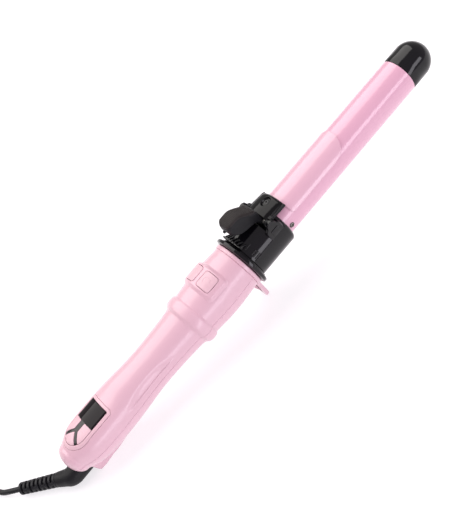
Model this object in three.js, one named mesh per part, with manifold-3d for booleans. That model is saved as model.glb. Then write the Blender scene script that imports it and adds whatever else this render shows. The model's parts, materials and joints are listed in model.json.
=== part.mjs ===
// Automatic rotating curling wand with a spring clamp, built along its own axis (x = 0 at the stand collar,
// +x to the tip, +z the side with the buttons) and then laid on its stand fin and tail foot.
import * as THREE from "three";
import { mergeVertices } from "three/addons/utils/BufferGeometryUtils.js";
import Module from "manifold-3d";

const wasm = await Module();
wasm.setup();

// ---- driving dimensions, mm ----
const LIE_DEG = 7.15; // the axis rises this much when the wand lies on fin and foot
const FLOOR_C = -40.183; // x*sin + z*cos of the resting surface
const BARREL_R = 14;
const BARREL_WALL = 1.2;
const BARREL_END = 171.3;
const CAP_START = 171.6;
const CAP_END = 198.6;
const CAP_R = 13.8;
const TUBE_START = 34.6;
const HOUSING_R = 17.4;
const HOUSING_X = [5.9, 39.3];
const FLANGE_R = 21.2;
const FLANGE_X = [1.6, 5.6];
const PIN_X = 31;
const PIN_Z = 15.3;
const PIN_R = 1.5;
const COLLAR_R = 19.1;
const COLLAR_X = [-1.6, 1.2];
const FIN_TIP_Z = -41.1;
const FIN_TIP_R = 6;
const WALL = 2.2;
const GAP = 0.3;
const POD = { x0: -33.9, x1: -14.2, r: 21.3, edge: 53, flat: 41 };
const ROT_BUTTON = { x0: -30.0, x1: -17.9, tilt: 20, half: 5.6, out: 0.45 };
const PANEL_TOP_Z = 15.8; // the display side is a flatter arc than the rest of the handle
const PANEL_ARC_R = 23.4;
const PANEL_THICK = 1.8;
const SLEEVE_R = 6.85;
const SLEEVE_Z = -10.8;
const ELBOW_X = -179;
const BOOT_DIR = new THREE.Vector3(-0.772, 0.636, 0.05).normalize();
const ELBOW_LEN = 11;
const BOOT_LEN = 31;
const CORD_D = 4;
const GEAR_TEETH = 22;
const PINION_TEETH = 8;
const GEAR_CENTRE = 7.5;
const HANDLE = [
  [-1.9, 17.5], [-2.6, 18.1], [-5.4, 18.4], [-14.2, 19.05], [-18.6, 19.3],
  [-24, 19.4], [-31.7, 19.25], [-33.9, 19.1], [-38, 18.7], [-41.6, 18.45], [-43.4, 18.3],
  [-44.3, 19.1], [-46, 19.65], [-48.2, 19.8], [-50.6, 19.5], [-52.4, 18.7], [-53.4, 17.4], [-55.7, 16.7],
  [-69.6, 15.7], [-78, 15.4], [-96, 15.35], [-103.3, 15.8], 
  [-117.1, 16.8], [-123, 17.1], [-128.9, 17.3], [-142.6, 17.4], [-148, 17.15], [-153, 16.6],
  [-158.2, 15.4], [-162, 13.9], [-165.9, 12.1], [-169, 9.9], [-171.6, 7.0], [-173.4, 3.6], [-174.2, 0],
];

// ---- helpers ----
const rad = (d) => (d * Math.PI) / 180;
const smooth = (a, b, v) => {
  const t = Math.min(1, Math.max(0, (v - a) / (b - a)));
  return t * t * (3 - 2 * t);
};

function solid(geometry) {
  const g = geometry.clone();
  g.deleteAttribute("normal");
  g.deleteAttribute("uv");
  const m = mergeVertices(g, 1e-4);
  const make = (tri) =>
    new wasm.Manifold(new wasm.Mesh({ numProp: 3, vertProperties: new Float32Array(m.attributes.position.array), triVerts: tri }));
  let s = make(new Uint32Array(m.index.array));
  if (s.volume() < 0) {
    const tri = new Uint32Array(m.index.array);
    for (let i = 0; i < tri.length; i += 3) [tri[i + 1], tri[i + 2]] = [tri[i + 2], tri[i + 1]];
    s = make(tri);
  }
  return s;
}

// Profile of [x, r] pairs turned about the x axis.
function latheGeometry(profile, segments = 40) {
  const g = new THREE.LatheGeometry(profile.map(([x, r]) => new THREE.Vector2(Math.max(r, 0), x)), segments);
  g.rotateZ(-Math.PI / 2);
  return g;
}
const lathe = (profile, segments) => solid(latheGeometry(profile, segments));
const rod = (x0, x1, r, segments = 32, y = 0, z = 0) =>
  lathe([[x0, 0], [x0, r], [x1, r], [x1, 0]], segments).translate([0, y, z]);
const ring = (x0, x1, ri, ro, segments = 40) => lathe([[x0, ri], [x0, ro], [x1, ro], [x1, ri], [x0, ri]], segments);
const box = (x0, x1, y0, y1, z0, z1) => {
  const g = new THREE.BoxGeometry(x1 - x0, y1 - y0, z1 - z0);
  g.translate((x0 + x1) / 2, (y0 + y1) / 2, (z0 + z1) / 2);
  return solid(g);
};
// A cylinder from point a to point b.
function bar(a, b, r, segments = 20, r2 = r) {
  const A = new THREE.Vector3(...a), B = new THREE.Vector3(...b);
  const g = new THREE.CylinderGeometry(r2, r, A.distanceTo(B), segments);
  g.applyQuaternion(new THREE.Quaternion().setFromUnitVectors(new THREE.Vector3(0, 1, 0), B.clone().sub(A).normalize()));
  g.translate((A.x + B.x) / 2, (A.y + B.y) / 2, (A.z + B.z) / 2);
  return solid(g);
}
function shapeOf(points) {
  const s = new THREE.Shape();
  points.forEach(([x, y], i) => (i ? s.lineTo(x, y) : s.moveTo(x, y)));
  s.closePath();
  return s;
}
const extrude = (shape, depth) => solid(new THREE.ExtrudeGeometry(shape, { depth, bevelEnabled: false, curveSegments: 8 }));
// An outline in x,y raised along z.
const slab = (points, z0, z1) => extrude(Array.isArray(points) ? shapeOf(points) : points, z1 - z0).translate([0, 0, z0]);
// A side outline in x,z made as wide as y0..y1.
function sideSlab(points, y0, y1) {
  const g = new THREE.ExtrudeGeometry(shapeOf(points), { depth: y1 - y0, bevelEnabled: false });
  g.rotateX(Math.PI / 2);
  g.translate(0, y1, 0);
  return solid(g);
}
// An outline in y,z made as long as x0..x1.
function frontSlab(shape, x0, x1, holes = 8) {
  const g = new THREE.ExtrudeGeometry(shape, { depth: x1 - x0, bevelEnabled: false, curveSegments: holes });
  g.applyMatrix4(new THREE.Matrix4().makeBasis(new THREE.Vector3(0, 1, 0), new THREE.Vector3(0, 0, 1), new THREE.Vector3(1, 0, 0)));
  g.translate(x0, 0, 0);
  return solid(g);
}
function roundRect(x0, x1, y0, y1, r) {
  const s = new THREE.Shape();
  s.moveTo(x0 + r, y0); s.lineTo(x1 - r, y0); s.absarc(x1 - r, y0 + r, r, -Math.PI / 2, 0);
  s.lineTo(x1, y1 - r); s.absarc(x1 - r, y1 - r, r, 0, Math.PI / 2);
  s.lineTo(x0 + r, y1); s.absarc(x0 + r, y1 - r, r, Math.PI / 2, Math.PI);
  s.lineTo(x0, y0 + r); s.absarc(x0 + r, y0 + r, r, Math.PI, 1.5 * Math.PI);
  return s;
}
const joined = (...parts) => parts.slice(1).reduce((a, b) => a.add(b), parts[0]);

const group = new THREE.Group();
const posed = new THREE.Group();
group.add(posed);
const meshes = [];
function add(name, made, color, roughness = 0.4, metalness = 0) {
  const m = made.getMesh(), n = m.numProp, p = new Float32Array(m.numVert * 3);
  for (let i = 0; i < m.numVert; i++) for (let k = 0; k < 3; k++) p[3 * i + k] = m.vertProperties[n * i + k];
  const g = new THREE.BufferGeometry();
  g.setAttribute("position", new THREE.BufferAttribute(p, 3));
  g.setIndex(new THREE.BufferAttribute(new Uint32Array(m.triVerts), 1));
  const mesh = new THREE.Mesh(g, new THREE.MeshStandardMaterial({ color, roughness, metalness }));
  mesh.name = name;
  posed.add(mesh);
  meshes.push(mesh);
}
const PINK = 0xefc0d0, COATED = 0xf2b7cf, BLACK = 0x18171a, STEEL = 0xb9b6b2, BRASS = 0xc2a04e, BOARD = 0x2c6b45, DARK = 0x2c2a2d;

// ---- handle: a turned body, raised for the button pod and flattened for the display ----
function handleRadius(x, r, phi) {
  // phi is measured from the top, in degrees
  const a = Math.abs(phi);
  let out = r;
  const along = smooth(POD.x0, POD.x0 + 2.6, x) * (1 - smooth(POD.x1 - 2.6, POD.x1, x));
  const round = 1 - smooth(POD.flat, POD.edge, a);
  out += Math.max(0, POD.r - out) * along * round;
  const fade = 1 - smooth(-127, -112, x);
  if (fade > 0 && a < 75) {
    const c = PANEL_TOP_Z - PANEL_ARC_R, q = rad(a);
    const flat = c * Math.cos(q) + Math.sqrt(PANEL_ARC_R ** 2 - (c * Math.sin(q)) ** 2);
    if (flat < out) out += (flat - out) * fade;
  }
  return out;
}
function handleBody(offset, from = 0, to = -1000, segments = 28) {
  const rows = HANDLE.filter(([x]) => x <= from && x >= to);
  const pts = rows.map(([x, r]) => [x, r]);
  if (pts[0][1] > 0) pts.unshift([pts[0][0], 0]);
  if (pts[pts.length - 1][1] > 0) pts.push([pts[pts.length - 1][0], 0]);
  const g = latheGeometry(pts, segments);
  const p = g.attributes.position;
  for (let i = 0; i < p.count; i++) {
    const x = p.getX(i), y = p.getY(i), z = p.getZ(i), r = Math.hypot(y, z);
    if (r < 1e-6) continue;
    const phi = (Math.atan2(y, z) * 180) / Math.PI;
    const k = Math.max(0.5, handleRadius(x, r, phi) + offset) / r;
    p.setXYZ(i, x, y * k, z * k);
  }
  return solid(g);
}
const CAVITY = [[-5.2, 0], [-5.2, 15.4], [-14, 16.4], [-40, 16.0], [-53, 14.6], [-69, 13.3], [-88, 12.9], [-103, 13.4], [-117, 14.2], [-146, 13.9], [-153, 13.2], [-159, 11.6], [-164.5, 8.6], [-164.5, 0]];
const outer = handleBody(0);
const cavity = lathe(CAVITY, 20);
const frontHole = rod(-8, 2, 9, 24);

// Display panel outlines, x,y: rounded at the tail end, square at the front with cut corners.
function panelOutline(xa, xb, half, cut, tailR) {
  const pts = [[xb - cut, -half], [xb, -half + cut], [xb, half - cut], [xb - cut, half]];
  const cx = xa + tailR * 1.05;
  for (let i = 0; i <= 10; i++) {
    const q = Math.PI / 2 + (Math.PI * i) / 10;
    pts.push([cx + tailR * 1.05 * Math.cos(q), half * Math.sin(q)]);
  }
  return pts;
}
const outlineBezel = panelOutline(-164.0, -127.0, 11.4, 1.8, 11.5);
const outlinePocket = panelOutline(-164.3, -126.7, 11.7, 1.8, 11.6);
const outlineInner = panelOutline(-161.6, -129.1, 9.4, 0.4, 9.6);
const skinOuter = handleBody(0, -123, -170);
const skinRaised = handleBody(0.25, -123, -170);
const skinInner = handleBody(-PANEL_THICK, -123, -170);
const skin = skinOuter.subtract(skinInner);
const bezelSkin = skinRaised.subtract(skinInner);
const keySkin = skinOuter.subtract(handleBody(-PANEL_THICK + 0.2, -123, -170));

// rotate buttons, tilted either side of the top line
const rotX = (s, deg) => s.rotate([deg, 0, 0]);
const RB = ROT_BUTTON;
const buttonHole = (sign) => rotX(slab(roundRect(RB.x0 - GAP, RB.x1 + GAP, -RB.half - GAP, RB.half + GAP, 2.3), 11, 25), sign * RB.tilt);
const buttonBody = (sign) => {
  const outline = rotX(slab(roundRect(RB.x0, RB.x1, -RB.half, RB.half, 2), 16.6, 25), sign * RB.tilt);
  const shell = lathe([[-31, 0], [-31, POD.r + RB.out], [-17, POD.r + RB.out], [-17, 0]], 28);
  return outline.intersect(shell);
};

let top = outer.subtract(cavity).subtract(frontHole).intersect(box(-180, 5, -30, 30, 0.12, 40));
top = top.subtract(slab(outlinePocket, 4, 30)).subtract(buttonHole(1)).subtract(buttonHole(-1));
add("handle_top_shell", top, PINK, 0.28);

const foot = slab([[-166.0, -6.4], [-164.2, -7.6], [-140, -7.6], [-122, -6.0], [-122, 6.0], [-140, 7.6], [-164.2, 7.6], [-166.0, 6.4]], -22, -9)
  .intersect(sideSlab([[-166.0, -9], [-163.4, -20.9], [-150, -19.7], [-136, -18.2], [-122, -16.9], [-122, -9]], -9, 9));
const boss = (x, r) => bar([x, 0, -(r - 1.2)], [x, 0, -1.2], 3.2, 16);
let bottom = joined(outer, foot).intersect(box(-180, 5, -30, 30, -40, -0.12)).subtract(cavity).subtract(frontHole);
bottom = joined(bottom, boss(-78, 15.4), boss(-128, 17.3));
for (const [x, r] of [[-78, 15.4], [-128, 17.3]]) {
  bottom = bottom.subtract(bar([x, 0, -r - 1], [x, 0, -(r - 1.6)], 2.7, 20)).subtract(bar([x, 0, -r - 1], [x, 0, -3], 1.3, 12));
  add(x === -78 ? "handle_screw_front" : "handle_screw_rear", joined(
    bar([x, 0, -(r - 0.5)], [x, 0, -(r - 1.4)], 2.35, 16).subtract(box(x - 1.8, x + 1.8, -0.3, 0.3, -r, -(r - 0.95))),
    bar([x, 0, -(r - 1.3)], [x, 0, -4.5], 1.0, 10)), STEEL, 0.3, 1);
}
const floorCut = (() => {
  const g = new THREE.BoxGeometry(600, 120, 40);
  g.translate(0, 0, -20);
  g.rotateY(rad(LIE_DEG));
  g.translate(FLOOR_C * Math.sin(rad(LIE_DEG)), 0, FLOOR_C * Math.cos(rad(LIE_DEG)));
  return solid(g);
})();
bottom = bottom
  .subtract(rod(-190, -163.2, SLEEVE_R + 0.35, 32, 0, SLEEVE_Z))
  .subtract(rod(-164, -157.3, 4.4, 24, 0, SLEEVE_Z))
  .subtract(rod(-157.4, -150, 5.6, 24, 0, SLEEVE_Z))
  .subtract(floorCut);
add("handle_bottom_shell", bottom, PINK, 0.28);

// stand collar: a disc with the stand fin, fixed to the front of the handle
{
  const s = new THREE.Shape();
  const tipZ = FIN_TIP_Z + FIN_TIP_R;
  const pts = [];
  for (let i = 0; i <= 34; i++) {
    const q = rad(-61 + (302 * i) / 34);
    pts.push([COLLAR_R * Math.cos(q), COLLAR_R * Math.sin(q)]);
  }
  pts.push([-7.8, -19.6], [-7.0, -24]);
  for (let i = 0; i <= 10; i++) {
    const q = Math.PI + (Math.PI * i) / 10;
    pts.push([FIN_TIP_R * Math.cos(q), tipZ + FIN_TIP_R * Math.sin(q)]);
  }
  pts.push([7.0, -24], [7.8, -19.6]);
  pts.forEach(([y, z], i) => (i ? s.lineTo(y, z) : s.moveTo(y, z)));
  s.closePath();
  let c = frontSlab(s, COLLAR_X[0], COLLAR_X[1]);
  // a rib stiffens the fin on its tail side, below the handle
  const rib = sideSlab([[-1.4, -18.6], [-1.7, -18.6], [-6.4, -19.2], [-1.7, -37], [-1.4, -37]], -1.4, 1.4);
  c = joined(c, rib).subtract(rod(-8, 4, 5.4, 28)).subtract(floorCut);
  add("stand_collar", c, PINK, 0.28);
}

// ---- display panel ----
const bezel = slab(outlineBezel, 4, 30).subtract(slab(outlineInner, 3, 31)).intersect(bezelSkin);
add("panel_bezel", bezel, PINK, 0.3);
const insetPts = panelOutline(-161.3, -129.4, 9.1, 0.4, 9.5);
const inset = slab(insetPts, 3, 31);
const strip = (ax, ay, bx, by, w) => {
  const l = Math.hypot(bx - ax, by - ay), nx = (-(by - ay) / l) * (w / 2), ny = ((bx - ax) / l) * (w / 2);
  return [[ax + nx, ay + ny], [bx + nx, by + ny], [bx - nx, by - ny], [ax - nx, ay - ny]];
};
const stem = (w) => joined(
  slab([[-151.8, -w / 2 - 0.9], [-143, -w / 2 - 0.9], [-143, w / 2 + 0.9], [-151.8, w / 2 + 0.9]], 3, 31),
  slab(strip(-150.6, 0, -166, 13.6, w), 3, 31),
  slab(strip(-150.6, 0, -166, -13.6, w), 3, 31),
);
const glass = slab([[-144.2, -10], [-126, -10], [-126, 10], [-144.2, 10]], 3, 31);
const fascia = joined(glass, stem(1.7)).intersect(inset).intersect(skin);
add("display_fascia", fascia, BLACK, 0.08);
const glassWide = slab([[-144.5, -10], [-126, -10], [-126, 10], [-144.5, 10]], 2.5, 31.5);
const stemWide = joined(
  slab([[-152.2, -2.05], [-142, -2.05], [-142, 2.05], [-152.2, 2.05]], 2.5, 31.5),
  slab(strip(-150.6, 0, -167, 14.5, 2.3), 2.5, 31.5),
  slab(strip(-150.6, 0, -167, -14.5, 2.3), 2.5, 31.5),
);
const keys = inset.subtract(glassWide).subtract(stemWide).intersect(keySkin).decompose();
const post = (x, y, z) => bar([x, y, z], [x, y, 14.4], 1.1, 10);
for (const k of keys) {
  const b = k.boundingBox();
  const cx = (b.min[0] + b.max[0]) / 2, cy = (b.min[1] + b.max[1]) / 2;
  if (Math.abs(cy) < 2) add("power_button", joined(k, bar([-157.5, 0, 11.2], [-157.5, 0, 14.2], 1.1, 8)), PINK, 0.3);
  else if (cy > 0) add("plus_button", joined(k, bar([-149.6, 5.6, 11.2], [-149.6, 5.6, 13.6], 1.1, 8)), PINK, 0.3);
  else add("minus_button", joined(k, bar([-149.6, -5.6, 11.2], [-149.6, -5.6, 13.6], 1.1, 8)), PINK, 0.3);
}
const tact = (x, y, z0, z1, w) => joined(box(x - w / 2, x + w / 2, y - w / 2, y + w / 2, z0, z1 - 1.2), bar([x, y, z1 - 1.4], [x, y, z1], w * 0.27, 10));
add("control_board", box(-160, -92, -8.4, 8.4, 1.2, 2.8).subtract(box(-100, -91, -9, -5, 0, 4)), BOARD, 0.5);
add("lcd_module", joined(box(-144, -130.2, -8, 8, 8.6, 12), box(-142, -140, -7, 7, 3.1, 9), box(-134, -132, -7, 7, 3.1, 9)), DARK, 0.3);
add("key_switch_power", tact(-157.5, 0, 3.1, 10.4, 4.6), DARK, 0.4);
add("key_switch_plus", tact(-149.6, 5.6, 3.1, 10.4, 4.6), DARK, 0.4);
add("key_switch_minus", tact(-149.6, -5.6, 3.1, 10.4, 4.6), DARK, 0.4);

// ---- rotate buttons and their board ----
add("rotate_left_button", buttonBody(-1), PINK, 0.3);
add("rotate_right_button", buttonBody(1), PINK, 0.3);
add("rotate_switch_board", box(-34, -13.5, -10.6, 10.6, 9.4, 10.8), BOARD, 0.5);
add("rotate_switch_left", tact(-24, 5.6, 11.1, 13.8, 5), DARK, 0.4);
add("rotate_switch_right", tact(-24, -5.6, 11.1, 13.8, 5), DARK, 0.4);

// ---- drive inside the handle ----
function gear(teeth, root, tip, bore, x0, x1, phase, share = 0.4) {
  const s = new THREE.Shape();
  const pts = [];
  for (let i = 0; i < teeth; i++) {
    const c = phase + (2 * Math.PI * i) / teeth, p = (2 * Math.PI) / teeth;
    for (const [da, r] of [[-0.5 * share * p * 1.35, root], [-0.5 * share * p * 0.7, tip], [0.5 * share * p * 0.7, tip], [0.5 * share * p * 1.35, root]])
      pts.push([r * Math.cos(c + da), r * Math.sin(c + da)]);
  }
  pts.forEach(([y, z], i) => (i ? s.lineTo(y, z) : s.moveTo(y, z)));
  s.closePath();
  if (bore) {
    const h = new THREE.Path();
    h.absarc(0, 0, bore, 0, 2 * Math.PI, true);
    s.holes.push(h);
  }
  return frontSlab(s, x0, x1, 12);
}
add("bearing_bush", ring(-8, -2.2, 5.0, 8.7, 20), BRASS, 0.35, 1);
add("brush_block", box(-19, -9.4, -4, 4, -13.6, -7.5), DARK, 0.5);
add("gearbox", rod(-40, -26.6, 5.3, 24, 0, -GEAR_CENTRE), STEEL, 0.4, 0.8);
add("drive_motor", joined(rod(-66, -40.3, 5.0, 18, 0, -GEAR_CENTRE), rod(-67.6, -65.9, 1.6, 12, 0, -GEAR_CENTRE)), STEEL, 0.35, 1);
add("motor_pinion", joined(gear(PINION_TEETH, 1.4, 2.42, 0, -25, -21, Math.PI / 2).translate([0, 0, -GEAR_CENTRE]), rod(-26.3, -24.9, 1.1, 12, 0, -GEAR_CENTRE)), BRASS, 0.35, 1);
add("cord_clamp", box(-147.6, -138, -5.5, 5.5, -12.2, -5).subtract(rod(-150, -130, 1.9, 16, 0, -8.6)), DARK, 0.5);

// ---- turning barrel assembly ----
add("drive_shaft", lathe([[-26, 0], [-26, 3], [-8.2, 3], [-8.2, 4.7], [9.5, 4.7], [9.5, 12], [12.5, 12], [12.5, 4.7], [17, 4.7], [17, 0]], 20), STEEL, 0.35, 1);
add("drive_gear", gear(GEAR_TEETH, 4.9, 5.92, 3.3, -25, -21, -Math.PI / 2 + Math.PI / GEAR_TEETH), BRASS, 0.35, 1);
add("slip_ring_drum", lathe([[-20, 3.3], [-20, 7], [-18, 7], [-18, 6.3], [-16.6, 6.3], [-16.6, 7], [-14.9, 7], [-14.9, 6.3], [-13.5, 6.3], [-13.5, 7], [-11.8, 7], [-11.8, 6.3], [-10.4, 6.3], [-10.4, 7], [-8.6, 7], [-8.6, 3.3], [-20, 3.3]], 14), BRASS, 0.3, 1);
add("housing_flange", lathe([[FLANGE_X[0], 5.1], [FLANGE_X[0], 19.6], [2.1, 20.7], [2.9, 21.2], [4.4, 21.2], [4.9, 20.9], [5.0, 19.0], [FLANGE_X[1], 18.6], [FLANGE_X[1], 5.1], [FLANGE_X[0], 5.1]], 36), BLACK, 0.12);
{
  let h = lathe([[HOUSING_X[0], 5.1], [HOUSING_X[0], HOUSING_R], [37.2, HOUSING_R], [38.5, 17.0], [39.1, 16.2], [HOUSING_X[1], 15.2], [HOUSING_X[1], 14.4], [34.2, 14.4], [34.2, 13.4], [9.1, 13.4], [9.1, 5.1], [HOUSING_X[0], 5.1]], 36);
  const ear = (s) => sideSlab([[25, 5], [36.5, 5], [36.5, 13.5], [35.4, 17.2], [33.2, 19.3], [30.6, 20], [28, 19.2], [26, 17.2], [25, 14]], s > 0 ? 13 : -16, s > 0 ? 16 : -13);
  h = joined(h, ear(1), ear(-1))
    .subtract(rod(9.2, 34.2, 13.4, 36))
    .subtract(rod(34.1, 41, 14.4, 36))
    .subtract(box(26.4, 36.6, -12.9, 12.9, 12, 24))
    .subtract(bar([PIN_X, -20, PIN_Z], [PIN_X, 20, PIN_Z], PIN_R + 0.2, 20));
  for (const a of [52, 57.5, 63, 68.5]) {
    const y = -17.3 * Math.sin(rad(a)), z = 17.3 * Math.cos(rad(a));
    h = joined(h, bar([8.0, y, z], [13.4, y, z], 0.45, 8));
  }
  add("barrel_housing", h, BLACK, 0.12);
}
add("hinge_pin", bar([PIN_X, -16.3, PIN_Z], [PIN_X, 16.3, PIN_Z], PIN_R, 18), STEEL, 0.3, 1);
add("lever_bumper", joined(box(6.3, 8.5, -4, 4, 17.2, 19.2), ...[-3, -1, 1, 3].map((y) => box(6.3, 8.5, y - 0.45, y + 0.45, 19, 20))).subtract(rod(5, 10, HOUSING_R + 0.25, 36)), BLACK, 0.5);
{
  const pts = [];
  const turns = 4, steps = 32;
  pts.push(new THREE.Vector3(PIN_X - 4.0, -3.2, 17.8));
  for (let i = 0; i <= steps; i++) {
    const q = Math.PI / 2 + (2 * Math.PI * turns * i) / steps;
    pts.push(new THREE.Vector3(PIN_X + 2.55 * Math.cos(q), -3.0 + (6.0 * i) / steps, PIN_Z + 2.55 * Math.sin(q)));
  }
  const path = new THREE.CatmullRomCurve3(pts);
  const c = new THREE.Shape();
  c.absarc(0, 0, 0.5, 0, 2 * Math.PI, false);
  add("clamp_spring", solid(new THREE.ExtrudeGeometry(c, { steps: 36, extrudePath: path, curveSegments: 2, bevelEnabled: false })), STEEL, 0.3, 1);
}
const screwHole = bar([42.2, -20, 0], [42.2, -9, 0], 1.3, 14);
add("barrel_tube", ring(TUBE_START, BARREL_END, BARREL_R - BARREL_WALL, BARREL_R, 36).subtract(screwHole), COATED, 0.22);
add("barrel_screw", joined(bar([42.2, -14.95, 0], [42.2, -14.15, 0], 2.0, 16, 2.0).subtract(box(40.8, 43.6, -15.2, -14.6, -0.3, 0.3)), bar([42.2, -14.3, 0], [42.2, -11, 0], 1.0, 12)), STEEL, 0.3, 1);
{
  // a cup: its spigot sits in the tube, and it is open towards the heater
  const prof = [[166, 10.6], [166, 12.4], [CAP_START, 12.4], [CAP_START, CAP_R]];
  const c = CAP_END - CAP_R;
  for (let i = 0; i <= 7; i++) prof.push([c + CAP_R * Math.sin((Math.PI * i) / 14), CAP_R * Math.cos((Math.PI * i) / 14)]);
  prof[prof.length - 1][1] = 0;
  const inner = CAP_R - 2.2;
  for (let i = 5; i >= 0; i--) prof.push([c + inner * Math.sin((Math.PI * i) / 10), inner * Math.cos((Math.PI * i) / 10)]);
  prof[prof.length - 6][1] = 0;
  prof.push([174, inner], [173, 10.6], [166, 10.6]);
  add("barrel_tip_cap", lathe(prof, 36), BLACK, 0.12);
}
{
  // two extruded halves: a springy skin against the tube, a web and a pad on the heater
  const r = BARREL_R - BARREL_WALL - 0.35;
  const extrusion = joined(ring(56, 140, r - 1.5, r, 32), box(56, 140, -0.9, 0.9, -r + 0.6, r - 0.6), box(56, 140, -7, 7, -4, 4));
  add("heater_block_upper", extrusion.intersect(box(50, 170, -20, 20, 1.6, 20)), STEEL, 0.5, 0.8);
  add("heater_block_lower", extrusion.intersect(box(50, 170, -20, 20, -20, -1.6)), STEEL, 0.5, 0.8);
  add("ptc_heater", box(58, 138, -6.5, 6.5, -1.25, 1.25), 0xd8d2c4, 0.7);
  add("thermistor", box(96, 102, 8, 11, -1.1, 1.1), 0x7a4a2a, 0.5);
  add("thermal_fuse", bar([112, -9.2, 0], [126, -9.2, 0], 1.1, 12), STEEL, 0.4, 0.8);
}

// ---- clamp ----
{
  // spoon plate: a curved sheet over the barrel, full width to x = 92, then a rounded tip
  const sheet = ring(40.6, 107.2, BARREL_R + 0.3, BARREL_R + 1.1, 48);
  const half = 13.75;
  const pts = [[40.6, -7.4], [48.2, -7.4], [48.2, -half + 2.2], [48.7, -half + 0.9], [50.6, -half]];
  pts.push([91, -half]);
  for (let i = 1; i < 16; i++) {
    const q = -Math.PI / 2 + (Math.PI * i) / 16;
    pts.push([91 + 16.2 * Math.cos(q), half * Math.sin(q)]);
  }
  pts.push([91, half], [50.6, half], [48.7, half - 0.9], [48.2, half - 2.2], [48.2, 7.4], [40.6, 7.4]);
  const wrap = slab(pts, 5.6, 20);
  add("clamp_plate", sheet.intersect(wrap).subtract(bar([41.9, 0, 10], [41.9, 0, 20], 1.4, 14)), COATED, 0.2);
}
{
  const inner = joined(rod(30, 40.0, 17.8, 36), rod(39.9, 50, 15.5, 36));
  const shellB = lathe([[31.7, 0], [31.7, 20.0], [36, 20.0], [44, 19.5], [47.2, 18.8], [48.0, 18.0], [48.0, 0]], 36);
  const s = new THREE.Shape();
  const q = rad(35);
  s.moveTo(0, 0); s.lineTo(-26 * Math.sin(q), 26 * Math.cos(q)); s.lineTo(26 * Math.sin(q), 26 * Math.cos(q)); s.closePath();
  const wedge = frontSlab(s, 31.7, 48.0);
  let b = shellB.subtract(inner).intersect(wedge);
  const lug = (sgn) => {
    const y0 = sgn > 0 ? 9.4 : -12.5, y1 = sgn > 0 ? 12.5 : -9.4;
    return joined(bar([PIN_X, y0, PIN_Z], [PIN_X, y1, PIN_Z], 2.8, 20), box(PIN_X, 35.9, y0, y1, 14.6, 17.6), box(33.2, 35.9, y0, y1, 15, 18.2))
      .subtract(rod(20, 50, 14.6, 32));
  };
  const crown = shellB.intersect(box(31.7, 36, -12.5, 12.5, 12, 24)).subtract(rod(30, 40, 17.8, 48));
  b = joined(b, crown, lug(1).intersect(lathe([[20, 0], [20, 20], [36, 20], [36, 0]], 48)), lug(-1).intersect(lathe([[20, 0], [20, 20], [36, 20], [36, 0]], 48)))
    .subtract(bar([PIN_X, -20, PIN_Z], [PIN_X, 20, PIN_Z], PIN_R + 0.25, 20))
    .subtract(box(31, 34.4, -6.9, 6.9, 12, 18.5))
    .subtract(bar([41.9, 0, 17.9], [41.9, 0, 22], 3.0, 20, 4.2))
    .subtract(bar([41.9, 0, 14], [41.9, 0, 19], 1.4, 14));
  add("clamp_bracket", b, BLACK, 0.14);
  add("bracket_screw", joined(bar([41.9, 0, 18.2], [41.9, 0, 19.0], 2.5, 16).subtract(box(40.4, 43.4, -0.3, 0.3, 18.7, 20)), bar([41.9, 0, 14.5], [41.9, 0, 18.3], 1.05, 12)), DARK, 0.3, 0.6);
}
{
  const side = [[8.7, 31.5], [9.3, 33.6], [10.8, 34.6], [15, 34.75], [20, 34.2], [24, 31.2], [28, 27.6], [31.4, 26.2], [31.4, 18.4], [33.3, 16.4], [33.4, 14.2], [32, 13.1], [30, 13.1], [28.6, 14.2], [27.6, 17.6], [25.4, 19.3], [22, 20.2], [18, 21.3], [14, 22.8], [10.6, 25.6], [8.9, 28.8]];
  let l = sideSlab(side, -6.45, 6.45);
  l = l.subtract(box(25.5, 36, -4.3, 4.3, 11, 19.6)).subtract(bar([PIN_X, -20, PIN_Z], [PIN_X, 20, PIN_Z], PIN_R + 0.25, 20));
  const sides = slab(roundRect(6, 36, -6.45, 6.45, 2.4).getPoints(4).map((p) => [p.x, p.y]), 10, 40);
  const nose = slab([[8.7, -4.2], [9.6, -5.7], [11.6, -6.45], [36, -6.45], [36, 6.45], [11.6, 6.45], [9.6, 5.7], [8.7, 4.2]], 10, 40);
  l = l.intersect(nose);
  const nub = bar([11.5, 0, 28.6], [7.6, 0, 28.2], 1.2, 10);
  add("thumb_lever", joined(l, nub), BLACK, 0.3);
  const low = [[9.3, 34.0], [10.7, 34.95], [15, 35.1], [20.1, 34.55], [24.2, 31.5], [28, 28.0]];
  const pad = [];
  for (const p of low) pad.push(p);
  pad.push([28.6, 29.3]);
  const high = [[24.9, 32.6], [20.8, 35.7], [15.2, 36.35], [10.6, 36.2], [9.2, 35.0]];
  // ribs across the pad
  const ribs = [];
  const along = [[28.6, 29.3], ...high];
  for (let i = 0; i + 1 < along.length; i++) {
    const [ax, az] = along[i], [bx, bz] = along[i + 1], l2 = Math.hypot(bx - ax, bz - az);
    const k = Math.max(1, Math.round(l2 / 1.9));
    for (let j = 0; j < k; j++) {
      const f = (t) => [ax + ((bx - ax) * (j + t)) / k, az + ((bz - az) * (j + t)) / k];
      const nx = -(bz - az) / l2, nz = (bx - ax) / l2;
      const [x1, z1] = f(0.25), [x2, z2] = f(0.5), [x3, z3] = f(0.98);
      ribs.push([x1, z1], [x2 - nx * 0.3, z2 - nz * 0.3], [x3, z3]);
    }
  }
  const poly = [...low, [28.6, 29.3], ...ribs, [9.2, 35.0]];
  const padSolid = sideSlab(poly, -5.9, 5.9).intersect(slab([[9.2, -3.8], [10, -5.2], [12, -5.9], [36, -5.9], [36, 5.9], [12, 5.9], [10, 5.2], [9.2, 3.8]], 10, 40));
  add("thumb_pad", padSolid, 0x2b2524, 0.75);
}

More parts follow.
